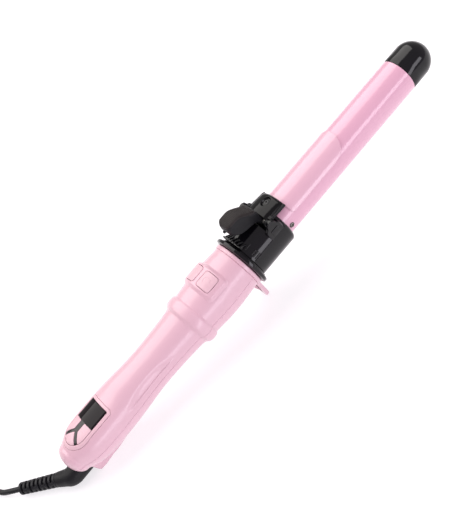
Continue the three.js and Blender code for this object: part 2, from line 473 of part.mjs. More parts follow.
// ---- cord swivel, strain relief and mains cord ----
const elbow = new THREE.Vector3(ELBOW_X, 0, SLEEVE_Z);
{
  const e = elbow, d = BOOT_DIR;
  const end = e.clone().addScaledVector(d, ELBOW_LEN);
  const ball = solid(new THREE.SphereGeometry(5.9, 20, 12).rotateX(Math.PI / 2).translate(e.x + 1.2, e.y, e.z));
  const s = joined(
    rod(e.x + 1.2, -163.5, SLEEVE_R, 32, 0, SLEEVE_Z),
    rod(-163.6, -156.9, 4.0, 20, 0, SLEEVE_Z),
    rod(-157.0, -154.8, 5.2, 20, 0, SLEEVE_Z),
    ball,
    bar([e.x, e.y, e.z], [end.x, end.y, end.z], 5.9, 24, 5.2),
  );
  add("swivel_sleeve", s, BLACK, 0.35);
  // ribbed boot, turned about its own line
  const prof = [[0, 2.3], [0, 5.1]];
  const ribs = 9, pitch = BOOT_LEN / ribs;
  for (let i = 0; i < ribs; i++) {
    const r = 5.1 - (0.65 * i) / (ribs - 1), x = i * pitch;
    prof.push([x + pitch * 0.55, r], [x + pitch * 0.6, r - 1.0], [x + pitch * 0.95, r - 1.0]);
    if (i < ribs - 1) prof.push([x + pitch, r - 0.08]);
  }
  prof.push([BOOT_LEN, 3.3], [BOOT_LEN, 2.3], [0, 2.3]);
  const g = latheGeometry(prof, 10);
  g.applyQuaternion(new THREE.Quaternion().setFromUnitVectors(new THREE.Vector3(1, 0, 0), d));
  const st = e.clone().addScaledVector(d, ELBOW_LEN + 0.3);
  g.translate(st.x, st.y, st.z);
  add("strain_relief_boot", solid(g), BLACK, 0.5);
}

// The cord is laid out in the resting frame, where the surface is z = 0.
const lie = new THREE.Matrix4().makeRotationY(rad(-LIE_DEG));
const toRest = (v) => v.clone().applyMatrix4(lie).add(new THREE.Vector3(0, 0, -FLOOR_C));
const cordGroup = new THREE.Group();
cordGroup.position.z = FLOOR_C;
const upright = new THREE.Group();
upright.rotation.y = rad(LIE_DEG);
function addRest(name, made, color, roughness, metalness = 0) {
  // made is in the resting frame: carried back into the wand's own frame like every other piece
  const deg = LIE_DEG;
  add(name, made.translate([0, 0, FLOOR_C]).rotate([0, deg, 0]), color, roughness, metalness);
}
const bootEnd = toRest(elbow.clone().addScaledVector(BOOT_DIR, ELBOW_LEN + 0.3 + BOOT_LEN + 0.3));
const bootDir = BOOT_DIR.clone().transformDirection(lie);
export const COIL = { x: -298, y: 28, turns: [16, 20, 24, 28], layers: 3.4 };
{
  const zc = CORD_D / 2 + 0.15;
  const b = bootEnd, d = bootDir;
  const p = [
    b.clone(),
    b.clone().addScaledVector(d, 8),
    b.clone().addScaledVector(d, 14).add(new THREE.Vector3(-0.2, 1.6, -1.2)),
    new THREE.Vector3(b.x - 17, b.y + 19.5, zc + 0.5),
    new THREE.Vector3(COIL.x + 51, COIL.y + 31, zc),
    new THREE.Vector3(COIL.x + 30, COIL.y + 35.5, zc),
    new THREE.Vector3(COIL.x + 8, COIL.y + 33.6, zc),
  ];
  const path = new THREE.CatmullRomCurve3(p, false, "centripetal");
  const c = new THREE.Shape();
  c.absarc(0, 0, CORD_D / 2, 0, 2 * Math.PI, false);
  addRest("cord_lead", solid(new THREE.ExtrudeGeometry(c, { steps: 26, extrudePath: path, curveSegments: 4, bevelEnabled: false })), BLACK, 0.45);
  const up = (g) => g; // turned about the vertical
  const coilG = new THREE.LatheGeometry([[14, 0.2], [30.4, 0.2], [30.4, 15.4], [28, 16.2], [16, 16.2], [14, 15.4], [14, 0.2]].map(([r, z]) => new THREE.Vector2(r, z)), 28);
  coilG.rotateX(Math.PI / 2);
  coilG.translate(COIL.x, COIL.y, 0);
  addRest("cord_coil", solid(coilG), BLACK, 0.45);
  // tie round one side of the coil, clear of it
  const t = box(COIL.x + 12.4, COIL.x + 32, COIL.y - 3, COIL.y + 3, 0.1, 17.6).subtract(box(COIL.x + 13.6, COIL.x + 30.8, COIL.y - 4, COIL.y + 4, -1, 16.6));
  addRest("cord_tie", t, DARK, 0.6);
  // mains plug lying beside the coil
  const px = COIL.x - 24, py = COIL.y + 28;
  const body = slab([[px, py - 4], [px - 8, py - 6], [px - 14, py - 12], [px - 32, py - 12.5], [px - 35, py - 11], [px - 35, py + 11], [px - 32, py + 12.5], [px - 14, py + 12], [px - 8, py + 6], [px, py + 4]], 0.2, 14);
  addRest("plug_body", body, BLACK, 0.4);
  for (const [i, s] of [[1, -1], [2, 1]])
    addRest("plug_pin_" + i, bar([px - 35.3, py + s * 9, 7.1], [px - 54, py + s * 9, 7.1], 2, 14), STEEL, 0.25, 1);
}

// ---- lay the wand down: bottom centre of everything but the cord at the origin ----
posed.rotation.y = rad(-LIE_DEG);
const CORD_NODES = new Set(["strain_relief_boot", "cord_lead", "cord_coil", "cord_tie", "plug_body", "plug_pin_1", "plug_pin_2"]);
{
  group.updateMatrixWorld(true);
  const b = new THREE.Box3();
  for (const m of meshes) if (!CORD_NODES.has(m.name)) b.expandByObject(m, true);
  posed.position.set(-(b.min.x + b.max.x) / 2, -(b.min.y + b.max.y) / 2, -b.min.z);
  group.updateMatrixWorld(true);
}
export default group;
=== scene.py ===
import json
import math

import bmesh
import bpy
import numpy as np
from mathutils import Matrix, Vector
from mathutils.geometry import delaunay_2d_cdt


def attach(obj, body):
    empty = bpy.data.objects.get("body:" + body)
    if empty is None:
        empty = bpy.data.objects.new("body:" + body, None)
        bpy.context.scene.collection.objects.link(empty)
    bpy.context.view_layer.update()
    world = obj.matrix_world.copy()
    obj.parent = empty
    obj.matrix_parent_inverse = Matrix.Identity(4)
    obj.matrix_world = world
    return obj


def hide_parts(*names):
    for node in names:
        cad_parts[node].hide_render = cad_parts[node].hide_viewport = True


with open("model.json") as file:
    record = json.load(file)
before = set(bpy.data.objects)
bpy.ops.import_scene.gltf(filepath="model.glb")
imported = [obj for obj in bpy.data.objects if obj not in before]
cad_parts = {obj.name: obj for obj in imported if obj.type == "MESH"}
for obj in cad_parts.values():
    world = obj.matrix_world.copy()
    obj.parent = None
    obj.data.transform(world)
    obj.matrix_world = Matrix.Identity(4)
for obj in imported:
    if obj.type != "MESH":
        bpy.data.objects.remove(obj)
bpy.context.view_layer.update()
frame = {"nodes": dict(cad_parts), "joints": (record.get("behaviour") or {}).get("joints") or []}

scene = bpy.context.scene
scene.view_settings.view_transform = "Standard"

# ------------------------------------------------------------------ frames
J = {j["name"]: j for j in frame["joints"]}
spin = J["barrel_spin"]
T = np.array(spin["pos_m"], float)
TH = math.atan2(spin["axis"][2], spin["axis"][0])
RM = np.array([[math.cos(TH), 0, -math.sin(TH)], [0, 1, 0], [math.sin(TH), 0, math.cos(TH)]])


def row(p):
    """wand-local mm -> row frame metres"""
    return np.asarray(p, float) @ RM.T * 0.001 + T


def rowdir(d):
    return np.asarray(d, float) @ RM.T


# ------------------------------------------------------------------ camera
FPX = 860.0
MMPX = 0.6737
EL, TAU, ANG = math.radians(47.0), math.radians(5.0), math.radians(49.6)
v = np.array([math.sin(TAU), math.cos(TAU) * math.cos(EL), -math.cos(TAU) * math.sin(EL)])
uu = np.array([1.0, 0, 0]) - v[0] * v
uu /= np.linalg.norm(uu)
nn = np.array([0, math.sin(EL), math.cos(EL)])
CAM = -FPX * MMPX * v + 6.7 * MMPX * nn
right = math.cos(ANG) * uu - math.sin(ANG) * nn
back = -v
up = np.cross(back, right)
cam_data = bpy.data.cameras.new("photo_camera")
cam_data.lens = 36.0 * FPX / 519.0
cam_data.sensor_width = 36.0
cam_data.clip_start, cam_data.clip_end = 0.02, 20
cam = bpy.data.objects.new("photo_camera", cam_data)
scene.collection.objects.link(cam)
m = Matrix.Identity(4)
for i, axis in enumerate((right, up, back)):
    a = rowdir(axis)
    for k in range(3):
        m[k][i] = a[k]
c = row(CAM)
for k in range(3):
    m[k][3] = c[k]
cam.matrix_world = m
scene.camera = cam


# ------------------------------------------------------------------ mesh helpers
def smooth(a, b, x):
    t = np.clip((np.asarray(x, float) - a) / (b - a), 0, 1)
    return t * t * (3 - 2 * t)


def make(name, verts, faces, local=True, angle=38):
    P = row(verts) if local else np.asarray(verts, float)
    me = bpy.data.meshes.new(name)
    me.from_pydata([tuple(p) for p in P], [], [tuple(int(i) for i in f) for f in faces])
    bm = bmesh.new()
    bm.from_mesh(me)
    bmesh.ops.remove_doubles(bm, verts=bm.verts, dist=2e-6)
    bmesh.ops.recalc_face_normals(bm, faces=bm.faces)
    for f in bm.faces:
        f.smooth = True
    bm.to_mesh(me)
    bm.free()
    me.set_sharp_from_angle(angle=math.radians(angle))
    ob = bpy.data.objects.new(name, me)
    scene.collection.objects.link(ob)
    return ob


def put(ob, body, slot, mat, *replaced):
    ob.data.materials.clear()
    ob.data.materials.append(mat)
    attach(ob, body)
    if replaced:
        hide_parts(*replaced)
    return ob


def fillet(points, radii, n=6, closed=False):
    """points with their corners rounded; radii is a number or one per point"""
    pts = [np.array(p, float) for p in points]
    N = len(pts)
    if not hasattr(radii, "__len__"):
        radii = [radii] * N
    out = []
    for i in range(N):
        if not closed and i in (0, N - 1) or radii[i] <= 0:
            out.append(pts[i])
            continue
        a, b, cc = pts[i - 1], pts[i], pts[(i + 1) % N]
        d1, d2 = a - b, cc - b
        l1, l2 = np.linalg.norm(d1), np.linalg.norm(d2)
        if l1 < 1e-9 or l2 < 1e-9:
            out.append(b)
            continue
        d1, d2 = d1 / l1, d2 / l2
        cosang = float(np.clip(d1 @ d2, -1, 1))
        half = math.acos(cosang) / 2
        if half > math.radians(89):
            out.append(b)
            continue
        t = min(radii[i] / math.tan(half), 0.48 * l1, 0.48 * l2)
        r = t * math.tan(half)
        bis = d1 + d2
        bis /= np.linalg.norm(bis)
        centre = b + bis * (r / math.sin(half))
        s, e = b + d1 * t - centre, b + d2 * t - centre
        a0, a1 = math.atan2(s[1], s[0]), math.atan2(e[1], e[0])
        da = (a1 - a0 + math.pi) % (2 * math.pi) - math.pi
        k = max(2, int(n * abs(da) / (math.pi / 2)) + 1)
        for j in range(k + 1):
            q = a0 + da * j / k
            out.append(centre + r * np.array([math.cos(q), math.sin(q)]))
    return np.array(out)


def dense(points, step, closed=True):
    pts = np.asarray(points, float)
    out = []
    N = len(pts)
    for i in range(N if closed else N - 1):
        a, b = pts[i], pts[(i + 1) % N]
        k = max(1, int(math.ceil(np.linalg.norm(b - a) / step)))
        for j in range(k):
            out.append(a + (b - a) * j / k)
    if not closed:
        out.append(pts[-1])
    return np.array(out)


def rrect(x0, x1, y0, y1, r, step=0.35):
    return dense(fillet([(x0, y0), (x1, y0), (x1, y1), (x0, y1)], r, 10, True), step)


def lathe(profile, segs=128, centre=(0, 0), axis="x"):
    """(x, r) profile turned about the local x axis through (y, z) = centre"""
    verts, faces = [], []
    rings = []
    for x, r in profile:
        if r < 1e-6:
            rings.append([len(verts)])
            verts.append((x, centre[0], centre[1]))
        else:
            rings.append(list(range(len(verts), len(verts) + segs)))
            for i in range(segs):
                q = 2 * math.pi * i / segs
                verts.append((x, centre[0] + r * math.sin(q), centre[1] + r * math.cos(q)))
    for a, b in zip(rings, rings[1:]):
        if len(a) == 1 and len(b) == 1:
            continue
        for i in range(segs):
            k = (i + 1) % segs
            if len(a) == 1:
                faces.append((a[0], b[i], b[k]))
            elif len(b) == 1:
                faces.append((a[i], b[0], a[k]))
            else:
                faces.append((a[i], b[i], b[k], a[k]))
    return np.array(verts, float), faces


def turned(verts, origin, direction):
    """a lathe made along +x, moved so that x runs along direction from origin"""
    d = Vector(direction).normalized()
    q = Vector((1, 0, 0)).rotation_difference(d).to_matrix()
    return np.asarray(verts) @ np.array(q).T + np.array(origin, float)


def normals2(loop):
    nxt, prv = np.roll(loop, -1, 0), np.roll(loop, 1, 0)
    t = nxt - prv
    t /= np.maximum(np.linalg.norm(t, axis=1)[:, None], 1e-9)
    return np.stack([-t[:, 1], t[:, 0]], 1)  # left of the direction of travel


def area2(p):
    return 0.5 * float(np.sum(p[:, 0] * np.roll(p[:, 1], -1) - np.roll(p[:, 0], -1) * p[:, 1]))


def ccw(p):
    return p if area2(p) > 0 else p[::-1]


def slab(outline, w0, w1, r, place, n=5, r_top=None):
    """a plate with rounded edges: outline (N, 2), thickness from w0 to w1"""
    loop = ccw(np.asarray(outline, float))
    nrm = normals2(loop)
    N = len(loop)
    verts, faces = [], []
    rings = []
    r1 = r if r_top is None else r_top
    levels = [(-r * (1 - math.sin(math.pi / 2 * k / n)), w0 + r * (1 - math.cos(math.pi / 2 * k / n))) for k in range(n + 1)]
    levels += [(-r1 * (1 - math.cos(math.pi / 2 * k / n)), w1 - r1 * (1 - math.sin(math.pi / 2 * k / n))) for k in range(n + 1)]
    for off, w in levels:
        p = loop - nrm * off * 1.0
        p = loop + nrm * (-off)
        rings.append(list(range(len(verts), len(verts) + N)))
        verts += [place(a, b, w) for a, b in p]
    for a, b in zip(rings, rings[1:]):
        for i in range(N):
            k = (i + 1) % N
            faces.append((a[i], a[k], b[k], b[i]))
    faces.append(tuple(reversed(rings[0])))
    faces.append(tuple(rings[-1]))
    return np.array(verts, float), faces


def inside(p, loops):
    """which points are inside the outline and outside its holes"""
    res = np.zeros(len(p), bool)
    for loop in loops:
        a, b = loop, np.roll(loop, -1, 0)
        for (x1, y1), (x2, y2) in zip(a, b):
            hit = ((y1 > p[:, 1]) != (y2 > p[:, 1])) & (p[:, 0] < (x2 - x1) * (p[:, 1] - y1) / (y2 - y1 + 1e-30) + x1)
            res ^= hit
    return res


def dist(p, loop):
    """distance of points to a closed outline"""
    best = np.full(len(p), 1e9)
    a, b = loop, np.roll(loop, -1, 0)
    for q, w in zip(a, b):
        d = w - q
        t = np.clip(((p - q) @ d) / max(d @ d, 1e-12), 0, 1)
        best = np.minimum(best, np.linalg.norm(p - q - t[:, None] * d, axis=1))
    return best


def tile(loops, surf, r, depth, grid=0.8, n=4, proud=0.0):
    """a piece let into a curved face: outline and holes in x, y; surf(x, y) -> local points; r its edge rounding"""
    loops = [ccw(np.asarray(loops[0], float))] + [ccw(np.asarray(h, float))[::-1] for h in loops[1:]]
    verts2, drop, faces = [], [], []
    tops, bottoms = [], []
    for loop in loops:
        nrm = normals2(loop)
        N = len(loop)
        rings = []
        for off, dr in [(0.0, depth)] + [(r * (1 - math.cos(math.pi / 2 * k / n)), r * (1 - math.sin(math.pi / 2 * k / n))) for k in range(n + 1)]:
            rings.append(list(range(len(verts2), len(verts2) + N)))
            verts2 += list(loop + nrm * off)
            drop += [dr] * N
        for a, b in zip(rings, rings[1:]):
            for i in range(N):
                k = (i + 1) % N
                faces.append((a[i], a[k], b[k], b[i]))
        bottoms.append(rings[0])
        tops.append(rings[-1])
    for which, dr, flip in ((tops, 0.0, False), (bottoms, depth, True)):
        idx = [i for ring in which for i in ring]
        pts = [verts2[i] for i in idx]
        base = [np.array([verts2[i] for i in ring]) for ring in which]
        lo, hi = base[0].min(0), base[0].max(0)
        gx, gy = np.meshgrid(np.arange(lo[0], hi[0], grid), np.arange(lo[1], hi[1], grid))
        cand = np.stack([gx.ravel(), gy.ravel()], 1)
        if len(cand):
            keep = inside(cand, base)
            for b in base:
                keep &= dist(cand, b) > grid * 0.45
            cand = cand[keep]
        edges, o = [], 0
        for ring in which:
            N = len(ring)
            edges += [(o + i, o + (i + 1) % N) for i in range(N)]
            o += N
        allp = [Vector(p) for p in pts] + [Vector(p) for p in cand]
        got = delaunay_2d_cdt(allp, edges, [], 0, 1e-7)
        P = np.array([tuple(p) for p in got[0]])
        tri = [f for f in got[2]]
        cen = np.array([P[list(f)].mean(0) for f in tri])
        ok = inside(cen, base)
        remap = {}
        for newi, orig in enumerate(got[3]):
            src = [q for q in orig if q < len(idx)]
            if src:
                remap[newi] = idx[src[0]]
            else:
                remap[newi] = len(verts2)
                verts2.append(P[newi])
                drop.append(dr)
        for f, good in zip(tri, ok):
            if good:
                g = [remap[i] for i in f]
                faces.append(tuple(reversed(g)) if flip else tuple(g))
    V2 = np.array(verts2, float)
    return surf(V2[:, 0], V2[:, 1], proud - np.array(drop)), faces


def grid_faces(nu, nv, wrap=False, start=0):
    f = []
    for i in range(nu - 1):
        for j in range(nv if wrap else nv - 1):
            a, b = start + i * nv + j, start + i * nv + (j + 1) % nv
            f.append((a, b, b + nv, a + nv))
    return f


def sweep(path, radii, segs=32, caps=True):
    """a round tube along points, with a radius at each"""
    P = np.asarray(path, float)
    t = np.gradient(P, axis=0)
    t /= np.linalg.norm(t, axis=1)[:, None]
    ref = np.array([0, 0, 1.0])
    verts = []
    nrm = np.cross(t[0], ref)
    nrm /= np.linalg.norm(nrm)
    for p, tt, r in zip(P, t, radii):
        nrm = nrm - (nrm @ tt) * tt
        nrm /= np.linalg.norm(nrm)
        b = np.cross(tt, nrm)
        for i in range(segs):
            q = 2 * math.pi * i / segs
            verts.append(p + r * (math.cos(q) * nrm + math.sin(q) * b))
    faces = grid_faces(len(P), segs, wrap=True)
    if caps:
        faces.append(tuple(reversed(range(segs))))
        faces.append(tuple(range((len(P) - 1) * segs, len(P) * segs)))
    return np.array(verts), faces


def merged(*parts):
    verts, faces, o = [], [], 0
    for vv, ff in parts:
        verts.append(np.asarray(vv, float))
        faces += [tuple(i + o for i in f) for f in ff]
        o += len(vv)
    return np.concatenate(verts), faces


# ------------------------------------------------------------------ materials
def lin(rgb):
    return [((x / 255) / 12.92 if x / 255 <= 0.04045 else ((x / 255 + 0.055) / 1.055) ** 2.4) for x in rgb] + [1.0]


def material(name, rgb, rough=0.35, metal=0.0, coat=0.0, coat_rough=0.1, var=0.03, var_scale=60.0, rough_var=0.05,
             bump=0.05, bump_scale=900.0, second=None, scratches=0.0, sheen=0.0, ior=1.5, depth=0.0002, spec=0.5):
    mt = bpy.data.materials.new(name)
    mt.use_nodes = True
    nt = mt.node_tree
    bs = nt.nodes["Principled BSDF"]
    bs.inputs["Metallic"].default_value = metal
    bs.inputs["IOR"].default_value = ior
    bs.inputs["Specular IOR Level"].default_value = spec
    bs.inputs["Coat Weight"].default_value = coat
    bs.inputs["Coat Roughness"].default_value = coat_rough
    if sheen:
        bs.inputs["Sheen Weight"].default_value = sheen
    tc = nt.nodes.new("ShaderNodeTexCoord")
    n1 = nt.nodes.new("ShaderNodeTexNoise")
    n1.inputs["Scale"].default_value = var_scale
    n1.inputs["Detail"].default_value = 4
    nt.links.new(tc.outputs["Object"], n1.inputs["Vector"])
    ramp = nt.nodes.new("ShaderNodeValToRGB")
    col = np.array(lin(rgb)[:3])
    lo, hi = col * (1 - var), np.minimum(col * (1 + var), 1.0)
    if second is not None:
        hi = np.array(lin(second)[:3])
        lo = col
    ramp.color_ramp.elements[0].color = (*lo, 1)
    ramp.color_ramp.elements[1].color = (*hi, 1)
    ramp.color_ramp.elements[0].position, ramp.color_ramp.elements[1].position = 0.3, 0.7
    nt.links.new(n1.outputs["Fac"], ramp.inputs["Fac"])
    nt.links.new(ramp.outputs["Color"], bs.inputs["Base Color"])
    n2 = nt.nodes.new("ShaderNodeTexNoise")
    n2.inputs["Scale"].default_value = 220.0
    n2.inputs["Detail"].default_value = 6
    nt.links.new(tc.outputs["Object"], n2.inputs["Vector"])
    mr = nt.nodes.new("ShaderNodeMapRange")
    mr.inputs["To Min"].default_value = max(0.02, rough - rough_var)
    mr.inputs["To Max"].default_value = min(1.0, rough + rough_var)
    nt.links.new(n2.outputs["Fac"], mr.inputs["Value"])
    nt.links.new(mr.outputs["Result"], bs.inputs["Roughness"])
    n3 = nt.nodes.new("ShaderNodeTexNoise")
    n3.inputs["Scale"].default_value = bump_scale
    n3.inputs["Detail"].default_value = 3
    nt.links.new(tc.outputs["Object"], n3.inputs["Vector"])
    height = n3.outputs["Fac"]
    if scratches:
        mp = nt.nodes.new("ShaderNodeMapping")
        mp.inputs["Scale"].default_value = (12, 900, 900)
        nt.links.new(tc.outputs["Object"], mp.inputs["Vector"])
        n4 = nt.nodes.new("ShaderNodeTexNoise")
        n4.inputs["Scale"].default_value = 1.0
        nt.links.new(mp.outputs["Vector"], n4.inputs["Vector"])
        mx = nt.nodes.new("ShaderNodeMix")
        mx.inputs["Factor"].default_value = scratches
        nt.links.new(n3.outputs["Fac"], mx.inputs[2])
        nt.links.new(n4.outputs["Fac"], mx.inputs[3])
        height = mx.outputs[0]
    bp = nt.nodes.new("ShaderNodeBump")
    bp.inputs["Strength"].default_value = bump
    bp.inputs["Distance"].default_value = depth
    nt.links.new(height, bp.inputs["Height"])
    nt.links.new(bp.outputs["Normal"], bs.inputs["Normal"])
    return mt


PINK = material("pink_moulding", (215, 173, 187), rough=0.42, coat=0.7, coat_rough=0.2, var=0.012, var_scale=18, bump=0.03, bump_scale=1400, depth=0.00006)
PINK_KEY = material("pink_keys", (216, 177, 188), rough=0.45, coat=0.5, coat_rough=0.25, var=0.012, var_scale=40, bump=0.05, bump_scale=1600)
COATED = material("pink_ceramic_coating", (216, 163, 185), rough=0.35, coat=1.0, coat_rough=0.1, var=0.012, var_scale=25, bump=0.02, bump_scale=2200, depth=0.00002)
PLATE = material("pink_plate_coating", (217, 170, 188), rough=0.36, coat=1.0, coat_rough=0.12, var=0.012, var_scale=25, bump=0.02, bump_scale=2200, depth=0.00002)
BLACK = material("black_gloss_moulding", (10, 9, 13), rough=0.1, coat=0.0, var=0.2, var_scale=50, rough_var=0.03, bump=0.02, bump_scale=1100, depth=0.00003, spec=0.36)
# painted shade: a darker, less reflective copy of the black gloss moulding, used on the bracket arch, whose top
# reflects little of the lamps
BLACK_GLOSS_SHADED = material("black_gloss_painted_shade", (8, 7, 9), rough=0.08, coat=0.0, var=0.2, var_scale=50, rough_var=0.03, bump=0.02, bump_scale=1100, depth=0.00002, spec=0.24)
MATTE = material("black_matte_moulding", (15, 15, 19), rough=0.5, var=0.12, var_scale=90, rough_var=0.08, bump=0.12, bump_scale=2600, spec=0.26)
PAD = material("thumb_pad_rubber", (31, 25, 25), rough=0.5, var=0.15, var_scale=300, rough_var=0.1, bump=0.3, bump_scale=2500, spec=0.28)
GLASS = material("smoked_window", (17, 10, 15), rough=0.05, coat=0.0, var=0.1, var_scale=30, rough_var=0.02, bump=0.008, bump_scale=400, depth=0.00002, spec=0.2)
STEM = material("display_stem", (26, 19, 23), rough=0.2, var=0.1, var_scale=60, bump=0.03, bump_scale=1500, depth=0.00004)
STEEL = material("plated_steel", (190, 186, 182), rough=0.28, metal=1.0, var=0.06, var_scale=200, bump=0.06, bump_scale=1800, scratches=0.6)
DARK_STEEL = material("dark_plated_steel", (120, 116, 112), rough=0.25, metal=1.0, var=0.06, var_scale=200, bump=0.05, bump_scale=1800, scratches=0.4)
BRASS = material("turned_brass", (196, 164, 92), rough=0.3, metal=1.0, var=0.08, var_scale=200, bump=0.05, scratches=0.5)
ALU = material("extruded_aluminium", (196, 197, 200), rough=0.42, metal=1.0, var=0.05, var_scale=120, bump=0.08, scratches=0.7)
RUBBER = material("cord_rubber", (17, 17, 22), rough=0.42, var=0.12, var_scale=150, rough_var=0.08, bump=0.15, bump_scale=2000, spec=0.3)
BOARD = material("solder_mask", (38, 104, 66), rough=0.38, var=0.12, var_scale=500, bump=0.1, bump_scale=900, coat=0.2)
CERAMIC = material("sintered_ceramic", (212, 204, 190), rough=0.75, var=0.06, var_scale=400, bump=0.2, bump_scale=1500)
PART = material("moulded_component", (40, 40, 42), rough=0.45, var=0.1, var_scale=300, bump=0.1, bump_scale=1500)
for node, mt in {
    "heater_block_upper": ALU, "heater_block_lower": ALU, "ptc_heater": CERAMIC, "thermistor": CERAMIC, "thermal_fuse": STEEL,
    "drive_shaft": STEEL, "drive_gear": BRASS, "motor_pinion": BRASS, "slip_ring_drum": BRASS, "bearing_bush": BRASS,
    "brush_block": PART, "gearbox": STEEL, "drive_motor": STEEL, "cord_clamp": PART, "control_board": BOARD, "lcd_module": PART,
    "key_switch_power": PART, "key_switch_plus": PART, "key_switch_minus": PART, "rotate_switch_board": BOARD,
    "rotate_switch_left": PART, "rotate_switch_right": PART,
}.items():
    o = frame["nodes"][node]
    o.data.materials.clear()
    o.data.materials.append(mt)

# ------------------------------------------------------------------ dimensions (mm, wand-local)
PIN_X, PIN_Z = 31.0, 15.3
SLEEVE_Z, ELBOW_X = -10.8, -179.0
BOOT_DIR = np.array([-0.772, 0.636, 0.05])
BOOT_DIR /= np.linalg.norm(BOOT_DIR)
ELBOW_LEN, BOOT_LEN = 11.0, 31.0
PANEL_TOP_Z, PANEL_ARC = 15.8, 23.4

# ------------------------------------------------------------------ cord, first
CORD_D = 4.0
elbow = np.array([ELBOW_X, 0, SLEEVE_Z])
b_end = row(elbow + BOOT_DIR * (ELBOW_LEN + 0.3 + BOOT_LEN + 0.3))
b_dir = rowdir(BOOT_DIR)
COIL = np.array([-0.298, 0.028])
zc = 0.00215


def catmull(points, per=8):
    P = np.asarray(points, float)
    P = np.vstack([2 * P[0] - P[1], P, 2 * P[-1] - P[-2]])
    out = []
    for i in range(1, len(P) - 2):
        p0, p1, p2, p3 = P[i - 1], P[i], P[i + 1], P[i + 2]
        for j in range(per):
            t = j / per
            out.append(0.5 * (2 * p1 + (p2 - p0) * t + (2 * p0 - 5 * p1 + 4 * p2 - p3) * t * t + (3 * p1 - p0 - 3 * p2 + p3) * t ** 3))
    out.append(P[-2])
    return np.array(out)


def length_of(p):
    return float(np.linalg.norm(np.diff(p, axis=0), axis=1).sum())


mm = 0.001
CX, CY = COIL * 1000
lead_pts = [
    b_end - b_dir * 2 * mm,
    b_end + b_dir * 8 * mm,
    b_end + b_dir * 14 * mm + np.array([-0.2, 1.6, -1.2]) * mm,
    np.array([b_end[0] - 17 * mm, b_end[1] + 19.5 * mm, zc + 0.0005]),
    np.array([CX + 51, CY + 31, zc * 1000]) * mm,
    np.array([CX + 30, CY + 35.5, zc * 1000]) * mm,
    np.array([CX + 8, CY + 33.4, zc * 1000]) * mm,
]
# the turns: out to in and back, layer on layer, counted so that the whole cord comes to its length
A0, A1 = math.radians(115), math.radians(90)
TURNS = [28, 23.9, 19.8, 16, 16, 19.8, 23.9, 28, 28, 23.9, 19.8, 23.9, 28]
LAYER = [0] * 4 + [1] * 4 + [2] * 3 + [3] * 2
STEPS = 24


def coil_points():
    """13 turns; each goes over to the next one's radius and layer in its last third; the last ends at A1"""
    full = len(TURNS)
    total = full * 2 * math.pi - (A0 - A1)
    pts = []
    n = full * STEPS
    for i in range(n + 1):
        w = total * i / n
        k = min(int(w / (2 * math.pi)), full - 1)
        f = w / (2 * math.pi) - k
        nxt = min(k + 1, full - 1)
        go = float(smooth(0.62, 1.0, f))
        r = TURNS[k] + (TURNS[nxt] - TURNS[k]) * go
        z = zc + 4.05 * mm * (LAYER[k] + (LAYER[nxt] - LAYER[k]) * go)
        pts.append([COIL[0] + r * mm * math.cos(A0 + w), COIL[1] + r * mm * math.sin(A0 + w), z])
    return np.array(pts)


coil = coil_points()
top = coil[-1]
tail_pts = [top + np.array([-12, 0, -3.2]) * mm, np.array([CX - 26, CY + 28, 7.1]) * mm]
lead = catmull(lead_pts + [coil[0]], 5)
tail = catmull([coil[-2], top] + tail_pts, 5)[5:]
path = np.vstack([lead, coil[1:], tail])
print("CORD", len(lead), len(path), round(length_of(path), 4))
cord_curve = bpy.data.curves.new("mains_cord", "CURVE")
cord_curve.dimensions = "3D"
cord_curve.bevel_depth = CORD_D / 2 * mm
cord_curve.bevel_resolution = 5
cord_curve.use_fill_caps = True
sp = cord_curve.splines.new("POLY")
sp.points.add(len(path) - 1)
for i, p in enumerate(path):
    sp.points[i].co = (*p, 1)
sp.use_smooth = True
mains = bpy.data.objects.new("mains_cord", cord_curve)
scene.collection.objects.link(mains)
put(mains, "swivel", "cord_black", RUBBER, "cord_lead", "cord_coil")

# plug: a generic two-pin body lying by the coil
px, py = CX - 24, CY + 28
outline = fillet([(px, py - 3.4), (px - 8, py - 5.4), (px - 14, py - 12), (px - 35, py - 12.4), (px - 35, py + 12.4), (px - 14, py + 12), (px - 8, py + 5.4), (px, py + 3.4)],
                 [0.8, 6, 6, 2.5, 2.5, 6, 6, 0.8], 8, True)
vv, ff = slab(dense(outline, 0.8), 0.25, 13.9, 3.0, lambda a, b, w: (a * mm, b * mm, w * mm))
plug = put(make("mains_plug", vv, ff, local=False), "swivel", "cord_black", RUBBER, "plug_body")
for i, s in ((1, -1), (2, 1)):
    prof = fillet([(0, 0), (0, 2.0), (-17.6, 2.0), (-18.9, 1.2), (-18.9, 0)], [0, 0.1, 0.8, 0.5, 0], 5)
    vv, ff = lathe([(x, r) for x, r in prof], 32)
    vv = vv * mm + np.array([(px - 35.0) * mm, (py + s * 9) * mm, 7.1 * mm])
    put(make(f"mains_plug_pin_{i}", vv, ff, local=False), "swivel", "steel", STEEL, f"plug_pin_{i}")
# tie: a band round one side of the coil
cx, cy = COIL[0] * 1000, COIL[1] * 1000
band = fillet([(cx + 12.8, 0.2), (cx + 31.4, 0.2), (cx + 31.4, 17.0), (cx + 12.8, 17.0)], 2.4, 8, True)
inner = fillet([(cx + 13.6, 1.0), (cx + 30.6, 1.0), (cx + 30.6, 16.2), (cx + 13.6, 16.2)], 1.8, 8, True)
N = 48


def resample(loop, n):
    p = dense(loop, 0.05)
    s = np.concatenate([[0], np.cumsum(np.linalg.norm(np.diff(np.vstack([p, p[:1]]), axis=0), axis=1))])
    q = np.linspace(0, s[-1], n, endpoint=False)
    pp = np.vstack([p, p[:1]])
    return np.stack([np.interp(q, s, pp[:, 0]), np.interp(q, s, pp[:, 1])], 1)


